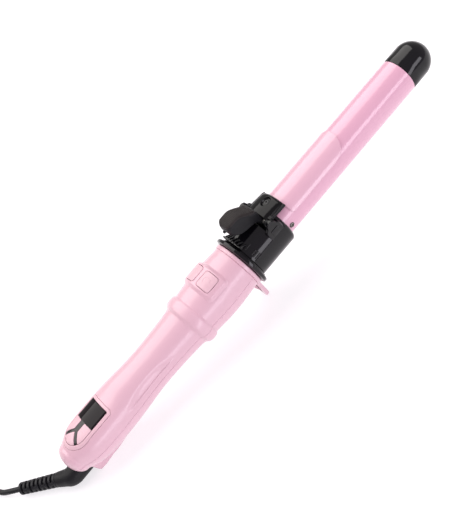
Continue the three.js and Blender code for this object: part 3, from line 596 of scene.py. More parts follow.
A, B = resample(band, N), resample(inner, N)
vv, rings = [], []
for loop, y in ((A, cy - 2.6), (A, cy + 2.6), (B, cy + 2.6), (B, cy - 2.6)):
    rings.append(list(range(len(vv), len(vv) + N)))
    vv += [(x * mm, y * mm, z * mm) for x, z in loop]
ff = []
for a, b in zip(rings, rings[1:] + rings[:1]):
    for i in range(N):
        k = (i + 1) % N
        ff.append((a[i], a[k], b[k], b[i]))
tie = put(make("coil_tie", np.array(vv), ff, local=False), "swivel", "cord_black", MATTE, "cord_tie")
# boot: rings on a thin core, joined by webs on alternate sides
ribs_n = 9
pitch = BOOT_LEN / ribs_n
st = elbow + BOOT_DIR * (ELBOW_LEN + 0.3)
parts = []
core = fillet([(0, 0), (0, 4.6), (1.2, 4.9), (1.6, 3.6), (BOOT_LEN - 1.2, 3.0), (BOOT_LEN, 2.9), (BOOT_LEN, 0)], [0, 0.3, 0.3, 0.3, 0, 0.5, 0], 5)
parts.append(lathe([tuple(p) for p in core], 48))
for i in range(ribs_n):
    r = 5.0 - 0.62 * i / (ribs_n - 1)
    x0 = i * pitch + 0.35
    w = pitch * 0.56
    parts.append(lathe([tuple(p) for p in fillet([(x0, 2.4), (x0, r), (x0 + w, r), (x0 + w, 2.4), (x0, 2.4)], [0, 0.45, 0.45, 0, 0], 5)], 64))
    if i < ribs_n - 1:
        for qd in ((0, 180) if i % 2 else (90, 270)):
            q = math.radians(qd + 45)
            hw = 1.25
            x1, x2 = x0 + w - 0.3, x0 + pitch + 0.3
            rad_o = r - 0.12
            vs, fs = slab(rrect(x1, x2, -hw, hw, 0.25, 0.5), 2.2, rad_o, 0.25, lambda p, b, w_: (p, b, w_), n=3)
            cq, sq_ = math.cos(q), math.sin(q)
            vs = np.stack([vs[:, 0], vs[:, 1] * cq - vs[:, 2] * sq_, vs[:, 1] * sq_ + vs[:, 2] * cq], 1)
            parts.append((vs, fs))
bv, bf = merged(*parts)
boot = put(make("boot_ribbed", turned(bv, st, BOOT_DIR), bf, angle=40), "swivel", "cord_black", RUBBER, "strain_relief_boot")

# ------------------------------------------------------------------ handle shells
HX = np.array([
    [-1.72, 18.1], [-1.9, 18.25], [-2.6, 18.36], [-3.8, 18.4], [-5.4, 18.45], [-9.5, 18.75], [-14.2, 19.05], [-18.6, 19.3], [-24, 19.4], [-31.7, 19.25],
    [-33.9, 19.1], [-38, 18.7], [-41.6, 18.45], [-43.2, 18.32], [-43.9, 18.62], [-44.7, 19.2], [-46, 19.62], [-48.2, 19.8], [-50.6, 19.5],
    [-52.2, 18.8], [-53.2, 17.75], [-54.2, 17.0], [-55.7, 16.7], [-62, 16.15], [-69.6, 15.7], [-78, 15.4], [-88, 15.2], [-96, 15.35], [-103.3, 15.8],
    [-110, 16.3], [-117.1, 16.8], [-123, 17.1], [-128.9, 17.3], [-136, 17.4], [-142.6, 17.4], [-148, 17.15], [-153, 16.6], [-158.2, 15.4],
    [-162, 13.9], [-165.9, 12.1], [-169, 9.9], [-171.6, 7.0], [-173.4, 3.6], [-174.2, 0.0]])


def pchip(xs, xk, yk):
    """monotone cubic through the points"""
    o = np.argsort(xk)
    x, y = xk[o], yk[o]
    h = np.diff(x)
    d = np.diff(y) / h
    mslope = np.zeros(len(x))
    for i in range(1, len(x) - 1):
        if d[i - 1] * d[i] > 0:
            w1, w2 = 2 * h[i] + h[i - 1], h[i] + 2 * h[i - 1]
            mslope[i] = (w1 + w2) / (w1 / d[i - 1] + w2 / d[i])
    mslope[0], mslope[-1] = d[0], d[-1]
    i = np.clip(np.searchsorted(x, xs) - 1, 0, len(x) - 2)
    t = (xs - x[i]) / h[i]
    return ((1 + 2 * t) * (1 - t) ** 2 * y[i] + t * (1 - t) ** 2 * h[i] * mslope[i] + t * t * (3 - 2 * t) * y[i + 1] + t * t * (t - 1) * h[i] * mslope[i + 1])


def base_radius(x):
    x = np.asarray(x, float)
    out = pchip(x, HX[:, 0], HX[:, 1])
    # the tail is a round dome: near its end the radius follows a quarter ellipse
    tail = x < -165.9
    e = np.clip((x + 174.2) / (174.2 - 165.9), 0, 1)
    dome = 12.1 * np.sqrt(np.clip(1 - (1 - e) ** 2.2, 0, 1))
    return np.where(tail, dome, out)


POD = dict(x0=-33.9, x1=-14.2, r=21.3)


def handle_r(x, phi):
    """outer radius at x and angle from the top (radians), without pockets"""
    x, phi = np.broadcast_arrays(np.asarray(x, float), np.asarray(phi, float))
    r = base_radius(x)
    a = np.degrees(np.abs(phi))
    # button pod: a rounded-rectangle plateau in arc length
    ux = (np.abs(x - (POD["x0"] + POD["x1"]) / 2) - ((POD["x1"] - POD["x0"]) / 2 - 4.0))
    uy = a / 57.3 * 20.0 - (53 / 57.3 * 20.0 - 4.0)
    d = np.hypot(np.maximum(ux, 0), np.maximum(uy, 0)) + np.minimum(np.maximum(ux, uy), 0)
    k = 1 - smooth(0.9, 4.0, d)
    r = r + np.maximum(0, POD["r"] - r) * k
    fade = 1 - smooth(-127, -112, x)
    cz = PANEL_TOP_Z - PANEL_ARC
    q = np.minimum(np.abs(phi), math.radians(75))
    flat = cz * np.cos(q) + np.sqrt(PANEL_ARC ** 2 - (cz * np.sin(q)) ** 2)
    # a soft meeting of the flat with the round
    gap = flat - r
    soft = 0.5 * (gap - np.sqrt(gap * gap + 0.35))
    soft = np.where(gap > 2.5, 0, soft)
    return r + soft * fade * (a < 76)


def surf(tilt_deg=0.0, pod=True):
    """returns f(x, y, lift) -> local points on the handle's top, in a frame turned by tilt about x"""
    t = math.radians(tilt_deg)

    def f(x, y, lift):
        x, y = np.asarray(x, float), np.asarray(y, float)
        z = np.sqrt(np.maximum(18.0 ** 2 - y * y, 1))
        for _ in range(12):
            ang = np.arctan2(y, z)  # positive towards +y
            r = handle_r(x, ang - t)
            z = np.sqrt(np.maximum(r * r - y * y, 0.5))
        # lift along the radial direction
        r = np.hypot(y, z)
        k = (r + lift) / r
        yy, zz = y * k, z * k
        return np.stack([x, yy * math.cos(t) - zz * math.sin(t), yy * math.sin(t) + zz * math.cos(t)], -1)
    return f


RB = dict(x0=-30.0, x1=-17.9, half=5.6, tilt=20.0)


def panel_outline(xa, xb, half, cut, tail, step=0.35):
    pts = [(xb - cut, -half), (xb, -half + cut), (xb, half - cut), (xb - cut, half)]
    cx0 = xa + tail * 1.05
    for i in range(25):
        q = math.pi / 2 + math.pi * i / 24
        pts.append((cx0 + tail * 1.05 * math.cos(q), half * math.sin(q)))
    return ccw(dense(pts, step))


BEZEL = panel_outline(-164.0, -127.0, 11.4, 1.8, 11.5)
INSET = panel_outline(-161.5, -129.2, 9.3, 0.5, 9.55)


def sdf(p, loop):
    d = dist(p, loop)
    return np.where(inside(p, [loop]), -d, d)


def shell_grid(top):
    xs = [np.linspace(-1.72, -3.8, 12), np.linspace(-3.8, -13.0, 24)[1:], np.arange(-13.2, -35.0, -0.22), np.linspace(-35.2, -43, 16),
          np.linspace(-43.2, -56, 56), np.linspace(-56.5, -125, 90), np.arange(-125.3, -165.6, -0.25) if top else np.arange(-125.5, -165.6, -0.3),
          -174.2 + 8.5 * (1 - np.sin(np.linspace(0.02, math.pi / 2, 30)))]
    xs = np.unique(np.round(np.concatenate(xs), 4))[::-1]
    if top:
        a = np.concatenate([np.linspace(-90, -89, 8), np.linspace(-88.6, -58, 22), np.arange(-57.4, 57.5, 0.62), np.linspace(58, 88.6, 22), np.linspace(89, 90, 8)])
    else:
        a = np.concatenate([np.linspace(90, 91, 8), np.linspace(91.4, 160, 44), np.linspace(161, 199, 60), np.linspace(200, 268.6, 44), np.linspace(269, 270, 8)])
    return xs, np.radians(np.unique(np.round(a, 4)))


def build_shell(top):
    xs, ph = shell_grid(top)
    X, PH = np.meshgrid(xs, ph, indexing="ij")
    R = handle_r(X, (PH + math.pi) % (2 * math.pi) - math.pi)
    if top:
        # pockets for the two rotate buttons
        for s in (1, -1):
            t = math.radians(s * RB["tilt"])
            # angle measured towards -y for positive tilt
            rel = PH + t
            y = R * np.sin(rel)
            z = R * np.cos(rel)
            bx, by = (RB["x1"] - RB["x0"]) / 2 + 0.28, RB["half"] + 0.28
            cx0 = (RB["x0"] + RB["x1"]) / 2
            rr = 2.3
            qx, qy = np.abs(X - cx0) - bx + rr, np.abs(y) - by + rr
            d = np.hypot(np.maximum(qx, 0), np.maximum(qy, 0)) + np.minimum(np.maximum(qx, qy), 0) - rr
            d = np.where(z > 0, d, 5)
            R = R - 1.75 * (1 - smooth(-0.28, -0.06, d)) - 0.10 * (1 - smooth(-0.1, 0.25, d))
        sel = (X < -124)
        p = np.stack([X[sel], (R * np.sin(PH))[sel]], 1)
        d = np.full(X.shape, 9.0)
        near = np.abs(p[:, 1]) < 14
        dd = np.full(len(p), 9.0)
        dd[near] = sdf(p[near], BEZEL)
        d[sel] = dd
        d = np.where(np.cos(PH) > 0.25, d, 9.0)
        R = R - 1.35 * (1 - smooth(-0.12, 0.16, d)) - 0.06 * (1 - smooth(0.1, 0.45, d))
    else:
        # tail foot: a small pad under the tail
        a = PH - math.pi
        fz = np.interp(X, [-166.2, -163.4, -150, -136, -122, -118], [-9, -20.9, -19.7, -18.2, -16.9, -14])
        half = np.interp(X, [-166.2, -164.2, -140, -122, -118], [6.2, 7.6, 7.6, 6.0, 4.0])
        rf = np.minimum(-fz / np.maximum(np.cos(a), 0.2), half / np.maximum(np.abs(np.sin(a)), 1e-3))
        ok = (X < -118) & (X > -166.3) & (np.cos(a) > 0.5)
        h = R - rf
        R = np.where(ok & (h < 0), rf, R)
        # small recesses over the two screws
        for sx, sr in ((-78, 15.4), (-128, 17.3)):
            d = np.hypot(X - sx, R * np.sin(a))
            d = np.where(np.cos(a) > 0, d, 9)
            R = R - 1.5 * (1 - smooth(2.45, 2.85, d))
    # finger scoops on both sides of the grip: an arched dish with a crisp lower edge
    deg = np.degrees(np.abs(PH)) if top else np.full(X.shape, 180.0)
    u, w = (X + 98.0) / 25.0, (73.0 - deg) / 26.0
    dd = np.hypot(u, np.maximum(w, 0))
    R = R - 0.75 * (1 - smooth(0.5, 1.0, dd)) * smooth(0.0, 0.09, w)
    # the seam: the last 0.5 mm turns in
    seam = np.minimum(np.abs(np.abs(np.degrees(PH)) - 90), np.abs(np.degrees(PH) - 270)) / 57.3 * R
    R = R - 0.20 * (1 - smooth(0.0, 0.35, seam)) ** 1.5
    Y, Z = R * np.sin(PH), R * np.cos(PH)
    off = 0.04 if top else -0.04
    Z = Z + off * (np.abs(Z) < 0.9)
    if not top:
        # nothing goes below the surface the wand lies on
        floor = (-T[2] * 1000 + 0.0 - X * math.sin(TH)) / math.cos(TH)
        Z = np.maximum(Z, floor + 0.02)
    outer = np.stack([X, Y, Z], -1).reshape(-1, 3)
    nu, nv = X.shape
    faces = grid_faces(nu, nv)
    # inner skin, 2 mm in, closes the shell
    k = np.maximum(R - 2.2, 0.2) / np.maximum(R, 0.2)
    Xi = np.clip(X, -171.5, -4.0)
    inner_ = np.stack([Xi, Y * k, np.where(np.abs(Z) < 0.9, Z, Z * k)], -1).reshape(-1, 3)
    o = nu * nv
    faces += [tuple(reversed([i + o for i in f])) for f in grid_faces(nu, nv)]
    for i in range(nu - 1):
        faces.append((i * nv, (i + 1) * nv, (i + 1) * nv + o, i * nv + o))
        j = nv - 1
        faces.append((i * nv + j, i * nv + j + o, (i + 1) * nv + j + o, (i + 1) * nv + j))
    for j in range(nv - 1):
        faces.append((j, j + o, j + 1 + o, j + 1))
        q = (nu - 1) * nv
        faces.append((q + j, q + j + 1, q + j + 1 + o, q + j + o))
    return np.vstack([outer, inner_]), faces


vv, ff = build_shell(True)
put(make("handle_top_skin", vv, ff, angle=50), "handle", "pink_shell", PINK, "handle_top_shell")
vv, ff = build_shell(False)
put(make("handle_bottom_skin", vv, ff, angle=50), "handle", "pink_shell", PINK, "handle_bottom_shell")
for nm, sx, sr in (("handle_screw_front", -78, 15.4), ("handle_screw_rear", -128, 17.3)):
    vv, ff = lathe(fillet([(0, 0), (0, 2.3), (1.0, 2.3), (1.4, 1.9), (1.4, 0.9), (0.6, 0.5), (0.6, 0)], [0, 0.05, 0.3, 0.3, 0.1, 0.1, 0], 4).tolist(), 40)
    vv = turned(vv, (sx, 0, -(sr - 1.75)), (0, 0, -1))
    put(make(nm + "_head", vv, ff), "handle", "steel", STEEL, nm)

# stand collar with its fin
pts = []
for i in range(61):
    q = math.radians(-61 + 302 * i / 60)
    pts.append((19.1 * math.cos(q), 19.1 * math.sin(q)))
fin = [(-9.0, -17.6), (-7.6, -21.5), (-7.0, -25.5), (-6.2, -34.0)]
for i in range(1, 12):
    q = math.pi + math.pi * i / 12
    fin.append((6.0 * math.cos(q), -35.0 + 6.0 * math.sin(q)))
fin += [(6.2, -34.0), (7.0, -25.5), (7.6, -21.5), (9.0, -17.6)]
outline = dense(fillet(pts + fin, [0] * len(pts) + [2.5, 3, 6, 0] + [0] * 11 + [0, 6, 3, 2.5], 6, True), 0.5)
outline[:, 1] = np.maximum(outline[:, 1], -40.52)
vv, ff = slab(outline, -1.7, 1.2, 0.3, lambda a, b, w: (w, a, b), n=6, r_top=0.9)
rib = dense(fillet([(-1.4, -18.3), (-6.2, -19.3), (-1.4, -36.5)], [0, 0.8, 0], 5, True), 0.6)
rv, rf = slab(rib, -1.35, 1.35, 0.5, lambda a, b, w: (a, w, b))
vv, ff = merged((vv, ff), (rv, rf))
vv[:, 2] = np.maximum(vv[:, 2], (-T[2] * 1000 - vv[:, 0] * math.sin(TH)) / math.cos(TH) + 0.02)
put(make("stand_collar_fin", vv, ff), "handle", "pink_shell", PINK, "stand_collar")

# ------------------------------------------------------------------ buttons
for side, s, body, node in (("right", 1, "rotate_right", "rotate_right_button"), ("left", -1, "rotate_left", "rotate_left_button")):
    f = surf(s * RB["tilt"])
    loop = rrect(RB["x0"], RB["x1"], -RB["half"], RB["half"], 2.0, 0.3)
    # a shallow raised arrow round each cap: a plain curved turn symbol
    fx, fy = (RB["x0"] + RB["x1"]) / 2, 0.0

    def lifted(x, y, lift, f=f, fx=fx, s=s):
        dx, dy = x - fx, y * s
        rr = np.hypot(dx, dy)
        ang = np.degrees(np.arctan2(dy, dx))
        arc = (np.abs(rr - 2.7) < 0.28) & (ang > -60) & (ang < 150)
        tipx, tipy = 2.7 * math.cos(math.radians(-66)), 2.7 * math.sin(math.radians(-66))
        head = (np.abs(dx - tipx) + np.abs(dy - tipy)) < 0.85
        return f(x, y, lift - 0.14 * (arc | head) + 0.28)
    vv, ff = tile([loop], lifted, 0.55, 0.95, grid=0.22, n=5)
    put(make(node + "_cap", vv, ff, angle=55), body, "pink_shell", PINK_KEY, node)

# ------------------------------------------------------------------ display panel
F0 = surf(0.0)
vv, ff = tile([BEZEL * 1.0, INSET], lambda x, y, l: F0(x, y, l + 0.22), 0.35, 1.6, grid=0.7, n=4)
put(make("panel_bezel_frame", vv, ff, angle=55), "handle", "pink_shell", PINK_KEY, "panel_bezel")


def clip(poly, p0, nrm):
    """the part of a convex outline on the side nrm points to"""
    out = []
    N = len(poly)
    for i in range(N):
        a, b = poly[i], poly[(i + 1) % N]
        da, db = (a - p0) @ nrm, (b - p0) @ nrm
        if da >= 0:
            out.append(a)
        if da * db < 0:
            out.append(a + (b - a) * da / (da - db))
    return np.array(out)


inset2 = panel_outline(-161.25, -129.4, 9.05, 0.5, 9.3)
arm_a, arm_b = np.array([-150.6, 0.0]), np.array([-166.0, 13.6])
adir = (arm_b - arm_a) / np.linalg.norm(arm_b - arm_a)
anorm = np.array([adir[1], -adir[0]])  # towards +x / lcd side
W = 1.22


def key_outline(kind, extra):
    w = W - extra
    if kind == "power":
        p = clip(inset2, arm_a - anorm * w, -anorm)
        mir = np.array([anorm[0], -anorm[1]])
        p = clip(p, np.array([arm_a[0], 0]) - mir * w, -mir)
    else:
        p = clip(inset2, np.array([-144.35 + extra, 0]), np.array([-1.0, 0]))
        p = clip(p, np.array([0, 2.15 - extra]), np.array([0, 1.0]))
        p = clip(p, arm_a + anorm * w, anorm)
        if kind == "minus":
            p = p * np.array([1, -1])
    p = ccw(p)
    keep = [p[0]]
    for q in p[1:]:
        if np.linalg.norm(q - keep[-1]) > 0.12:
            keep.append(q)
    p = np.array(keep)
    return dense(fillet(p, 0.5, 5, True), 0.3)


keys = {k: key_outline(k, 0.0) for k in ("power", "plus", "minus")}
# the fascia: the window and the Y-shaped stem as one dark piece
WINDOW_X = -144.2


def fascia_loop():
    w = 1.14
    ax_, ay_ = arm_a
    mir = np.array([anorm[0], -anorm[1]])
    up_out, up_in = arm_a + anorm * w, arm_a - anorm * w
    end = lambda base, d: base + d * 14.2
    dn = np.array([adir[0], -adir[1]])
    sx = -146
    pts = [(-129.4, -9.05), (-129.4, 9.05), (WINDOW_X, 9.05), (WINDOW_X, 2.05)]
    # stem to the upper arm's lcd side
    t = (2.05 - up_out[1]) / adir[1]
    pts.append(tuple(up_out + adir * t))
    pts.append(tuple(up_out + adir * 15.0))
    pts.append(tuple(up_in + adir * 15.0))
    # crotch between the arms
    t2 = -up_in[1] / adir[1]
    pts.append(tuple(up_in + adir * t2))
    dn_in = np.array([up_in[0], -up_in[1]])
    dn_out = np.array([up_out[0], -up_out[1]])
    pts.append(tuple(dn_in + dn * 15.0))
    pts.append(tuple(dn_out + dn * 15.0))
    t = (2.05 - up_out[1]) / adir[1]
    q = up_out + adir * t
    pts.append((q[0], -q[1]))
    pts += [(WINDOW_X, -2.05), (WINDOW_X, -9.05)]
    return np.array(pts)


raw = dense(fascia_loop(), 0.3)
# pull the arm ends back onto the inset's edge
d = sdf(raw, inset2)
for _ in range(30):
    bad = d > -0.02
    if not bad.any():
        break
    target = np.array([-148.0, 0.0])
    raw[bad] += (target - raw[bad]) * 0.02
    d = sdf(raw, inset2)
vv, ff = tile([ccw(raw)], lambda x, y, l: F0(x, y, l - 0.02 - 0.12 * (x < WINDOW_X)), 0.08, 1.3, grid=0.6, n=2)
put(make("display_stem_plate", vv, ff, angle=45), "handle", "display_window", STEM, "display_fascia")
win = rrect(-144.1, -129.5, -8.95, 8.95, 0.5, 0.35)
vv, ff = tile([win], lambda x, y, l: F0(x, y, l + 0.06), 0.25, 0.9, grid=0.6, n=4)
put(make("display_window_lens", vv, ff, angle=55), "handle", "display_window", GLASS)
SYM = {"power": (-157.6, 0.0), "plus": (-149.0, 5.3), "minus": (-149.0, -5.3)}
for k, body, node in (("power", "power_key", "power_button"), ("plus", "plus_key", "plus_button"), ("minus", "minus_key", "minus_button")):
    sx, sy = SYM[k]

    def key_surf(x, y, l, k=k, sx=sx, sy=sy):
        dx, dy = x - sx, y - sy
        if k == "power":
            rr, ang = np.hypot(dx, dy), np.degrees(np.arctan2(dy, dx))
            g = ((np.abs(rr - 1.15) < 0.17) & (np.abs(ang) > 32)) | ((np.abs(dy) < 0.15) & (dx > 0.2) & (dx < 1.5))
        elif k == "plus":
            g = ((np.abs(dx) < 0.17) & (np.abs(dy) < 1.1)) | ((np.abs(dy) < 0.17) & (np.abs(dx) < 1.1))
        else:
            g = (np.abs(dx) < 0.17) & (np.abs(dy) < 1.1)
        return F0(x, y, l + 0.10 - 0.10 * g)
    vv, ff = tile([keys[k]], key_surf, 0.3, 0.6, grid=0.16, n=4)
    put(make(node + "_cap", vv, ff, angle=55), body, "pink_shell", PINK_KEY, node)

# ------------------------------------------------------------------ barrel
cap_prof = [(166, 0), (166, 12.4), (171.55, 12.4), (171.55, 13.55), (171.8, 13.8)]
for i in range(1, 33):
    q = math.pi / 2 * i / 32
    cap_prof.append((184.8 + 13.8 * math.sin(q), 13.8 * math.cos(q)))
cap_prof[-1] = (198.6, 0)
cap_prof.insert(5, (178, 13.8))
vv, ff = lathe(cap_prof, 160)
put(make("tip_cap_moulding", vv, ff, angle=45), "barrel", "black_gloss", BLACK, "barrel_tip_cap")
tube = fillet([(34.6, 12.8), (34.6, 14), (100, 14), (171.3, 14), (171.3, 12.8), (34.6, 12.8)], [0, 0.25, 0, 0.3, 0.2, 0], 4)
prof = [tuple(p) for p in tube]
prof = prof[:3] + [(60, 14.0)] + prof[3:]
vv, ff = lathe([(x, r) for x, r in tube], 160)
put(make("barrel_tube_coated", vv, ff, angle=45), "barrel", "pink_tube_coating", COATED, "barrel_tube")


def screw(name, origin, direction, r, body, slot_name, mat, node, h=0.8, kind="cross"):
    prof = fillet([(-0.3, 0), (-0.3, r * 0.96), (h * 0.35, r), (h, r * 0.72), (h, 0)], [0, 0.05, 0.2, r * 0.25, 0], 6)
    nseg, rows = 96, []
    vs, fs = lathe([tuple(p) for p in prof], nseg)
    # cross recess pressed into the head
    rad_ = np.hypot(vs[:, 1], vs[:, 2])
    extra_rings = []
    vs2, fs2 = [], []
    rr = np.linspace(0, r * 0.72, 16)
    vs, fs = lathe([tuple(p) for p in prof[:-1]] + [(h, q) for q in rr[::-1][1:]], nseg)
    top = (vs[:, 0] > h - 1e-6)
    c1 = (np.abs(vs[:, 1]) < r * 0.13) & (np.abs(vs[:, 2]) < r * 0.5)
    c2 = (np.abs(vs[:, 2]) < r * 0.13) & (np.abs(vs[:, 1]) < r * 0.5)
    vs[top & (c1 | c2), 0] -= h * 0.55
    vs = turned(vs, origin, direction)
    return put(make(name, vs, fs, angle=30), body, slot_name, mat, node)


screw("barrel_screw_head", (42.2, -13.9, 0), (0, -1, 0), 2.0, "barrel", "steel", DARK_STEEL, "barrel_screw", h=0.75)

# housing: a turned body with a pocket for the clamp's lugs
xs = np.unique(np.concatenate([np.linspace(5.9, 6.3, 5), np.linspace(6.3, 26.2, 26), [26.3, 26.45, 26.6], np.linspace(27, 36.2, 14), [36.4, 36.55, 36.7], np.linspace(37.0, 39.3, 26)]))
ph = np.radians(np.unique(np.concatenate([np.linspace(-180, -50, 80), np.linspace(-49.5, -46, 24), np.linspace(-45, 45, 61), np.linspace(46, 49.5, 24), np.linspace(50, 180, 80)])))
X, PH = np.meshgrid(xs, ph, indexing="ij")
front = np.clip((X - 36.7) / 2.6, 0, 1)
R = 17.4 - 2.6 * (1 - np.sqrt(np.clip(1 - front ** 2, 0, 1)))
R = R - 0.35 * (1 - smooth(5.9, 6.3, X))
inx = smooth(26.3, 26.6, X) * (1 - smooth(36.4, 36.7, X))
a = np.abs(PH)
floor_r = 12.2 / np.maximum(np.cos(a), 0.3)
wall = 1 - smooth(math.radians(46.8), math.radians(48.2), a)
R = np.where(inx > 0, R + (np.minimum(floor_r, R) - R) * inx * wall, R)
outer = np.stack([X, R * np.sin(PH), R * np.cos(PH)], -1).reshape(-1, 3)
nu, nv = X.shape
faces = grid_faces(nu, nv)
o = len(outer)
front_ring = [(39.3, 14.4), (34.5, 14.4), (34.5, 5.3), (5.9, 5.3)]
extra, q0 = [], (nu - 1) * nv
prev = list(range(q0, q0 + nv))
for x, r in front_ring:
    ids = list(range(o + len(extra), o + len(extra) + nv))
    extra += [(x, r * math.sin(p), r * math.cos(p)) for p in ph]
    for j in range(nv - 1):
        faces.append((prev[j], prev[j + 1], ids[j + 1], ids[j]))
    prev = ids
first = list(range(nv))
for j in range(nv - 1):
    faces.append((prev[j], prev[j + 1], first[j + 1], first[j]))
hv, hf = np.vstack([outer, np.array(extra)]), faces
parts = [(hv, hf)]
ear = dense(fillet([(24.8, 6.0), (36.8, 6.0), (36.8, 14.2), (34.6, 16.0), (34.2, 18.6), (31.0, 20.4), (27.8, 18.6), (27.2, 16.0), (24.8, 14.2)],
                   [1.2, 1.2, 1.8, 1.2, 2.6, 3.2, 2.6, 1.2, 1.8], 8, True), 0.35)
for s in (1, -1):
    parts.append(slab(ear, 12.95, 16.0, 0.7, lambda p, q, w, s=s: (p, s * w, q)))
    sq = rrect(27.6, 34.0, 7.6, 13.2, 0.8, 0.3)
    parts.append(slab(sq, 15.5, 16.45, 0.3, lambda p, q, w, s=s: (p, s * w, q), n=3))
put(make("housing_shell", *merged(*parts), angle=40), "barrel", "black_gloss", BLACK, "barrel_housing")
ribs = []
for ang, r0 in ((34, 17.3), (52, 17.3), (57.5, 17.3), (63, 17.3), (68.5, 17.3)):
    q = math.radians(ang)
    y, z = -r0 * math.sin(q), r0 * math.cos(q)
    prof = [(8.0, 0)] + [(8.0 + 0.5 * (1 - math.cos(t)), 0.5 * math.sin(t)) for t in np.linspace(0.2, math.pi / 2, 5)] + [(13.4 - 0.5 * (1 - math.cos(t)), 0.5 * math.sin(t)) for t in np.linspace(math.pi / 2, 0.2, 5)] + [(13.4, 0)]
    ribs.append(lathe(prof, 20, centre=(y, z)))
put(make("housing_grip_ribs", *merged(*ribs)), "barrel", "black_gloss", BLACK)
fl = fillet([(1.6, 5.1), (1.6, 19.6), (2.2, 21.2), (4.3, 21.2), (4.7, 20.2), (4.9, 18.9), (5.65, 18.6), (5.65, 5.1)], [0, 0.4, 0.5, 0.7, 0.3, 0.2, 0.4, 0], 6)
vv, ff = lathe([tuple(p) for p in fl] + [(1.6, 5.1)], 160)
put(make("housing_flange_ring", vv, ff, angle=40), "barrel", "black_gloss", BLACK, "housing_flange")
prof = fillet([(0, 0), (0, 1.5), (31.0, 1.5), (31.0, 0)], [0, 0.3, 0.3, 0], 4)
vv, ff = lathe([tuple(p) for p in prof], 32)
put(make("hinge_pin_rod", turned(vv, (PIN_X, -15.5, PIN_Z), (0, 1, 0)), ff), "barrel", "steel", STEEL, "hinge_pin")
# ribbed bumper behind the lever
bump_parts = [slab(rrect(6.1, 7.4, -9.0, 9.0, 0.6), 15.4, 19.6, 0.3, lambda p, q, w: (p, q, w))]
for y in (-8.2, -5.4, -2.6, 0.2, 3.0, 5.8, 8.4):
    zt = math.sqrt(20.3 ** 2 - y * y)
    g = dense(fillet([(6.1, 14.6), (6.1, zt), (8.3, zt - 0.5), (11.8, zt - 3.1), (11.8, 14.6)], [0, 0.5, 0.7, 0.5, 0], 5, True), 0.4)
    bump_parts.append(slab(g, y - 0.55, y + 0.55, 0.35, lambda p, q, w: (p, w, q), n=4))
put(make("bumper_ribs", *merged(*bump_parts)), "barrel", "black_gloss", BLACK, "lever_bumper")
# torsion spring
pts = [(PIN_X - 4.6, -3.3, PIN_Z + 2.65), (PIN_X - 2.2, -3.2, PIN_Z + 2.6)]
for i in range(0, 5 * 28 + 1):
    q = math.pi / 2 - 2 * math.pi * i / 28
    pts.append((PIN_X + 2.55 * math.cos(q), -3.1 + 6.2 * i / (5 * 28), PIN_Z + 2.55 * math.sin(q)))
vv, ff = sweep(pts, [0.48] * len(pts), 12)
put(make("lever_torsion_spring", vv, ff, angle=60), "barrel", "steel", STEEL, "clamp_spring")

# ------------------------------------------------------------------ clamp
# spoon plate
rows = np.unique(np.concatenate([np.linspace(40.6, 48.2, 12), 48.2 + 2.6 * (1 - np.cos(np.linspace(0, math.pi / 2, 12))), np.linspace(51, 91, 60), 91 + 16.2 * np.sin(np.linspace(0, math.pi / 2, 40))]))


def half_deg(x):
    full = 67.0
    tongue = 30.0
    if x < 48.2:
        return tongue
    if x < 50.8:
        k = (x - 48.2) / 2.6
        return full - (1 - math.sqrt(max(0, 1 - (1 - k) ** 2))) * 10.5
    if x <= 91:
        return full
    k = min(1, (x - 91) / 16.2)
    return full * math.sqrt(max(0.0, 1 - k ** 2.1))


cols = 61
tt = np.linspace(-1, 1, cols)
tt = np.sign(tt) * (1 - (1 - np.abs(tt)) ** 1.35)
rin, rout, er = 14.3, 15.1, 0.38
O, I = [], []
tongue_rows = []
for x in rows:
    h = max(half_deg(x), 0.4)
    ang = tt * h
    arc = (h - np.abs(ang)) * math.pi / 180 * rout
    ex = 107.2 - x
    dd = np.minimum(arc, max(ex, 0) * 0.9 + 0.02)
    if x < 48.2:
        dd = arc
    elif x < 51 :
        dd = np.where(np.abs(ang) > 30, np.minimum(arc, (x - 48.2) + 0.01), arc)
    k = np.clip(dd / er, 0, 1)
    drop = er * (1 - np.sqrt(np.clip(1 - (1 - k) ** 2, 0, 1)))
    q = np.radians(ang)
    ro = rout - drop
    ri = rin + drop * 0.5
    O.append(np.stack([np.full(cols, x), ro * np.sin(q), ro * np.cos(q)], 1))
    I.append(np.stack([np.full(cols, x), ri * np.sin(q), ri * np.cos(q)], 1))
nu, nv = len(rows), cols
V = np.vstack([np.vstack(O), np.vstack(I)])
faces = grid_faces(nu, nv)
o = nu * nv
faces += [tuple(reversed([i + o for i in f])) for f in grid_faces(nu, nv)]
for i in range(nu - 1):
    faces.append((i * nv, (i + 1) * nv, (i + 1) * nv + o, i * nv + o))
    j = nv - 1
    faces.append((i * nv + j, i * nv + j + o, (i + 1) * nv + j + o, (i + 1) * nv + j))
for j in range(nv - 1):
    faces.append((j, j + o, j + 1 + o, j + 1))
    q = (nu - 1) * nv
    faces.append((q + j, q + j + 1, q + j + 1 + o, q + j + o))
put(make("spoon_plate", V, faces, angle=50), "clamp", "pink_coating", PLATE, "clamp_plate")

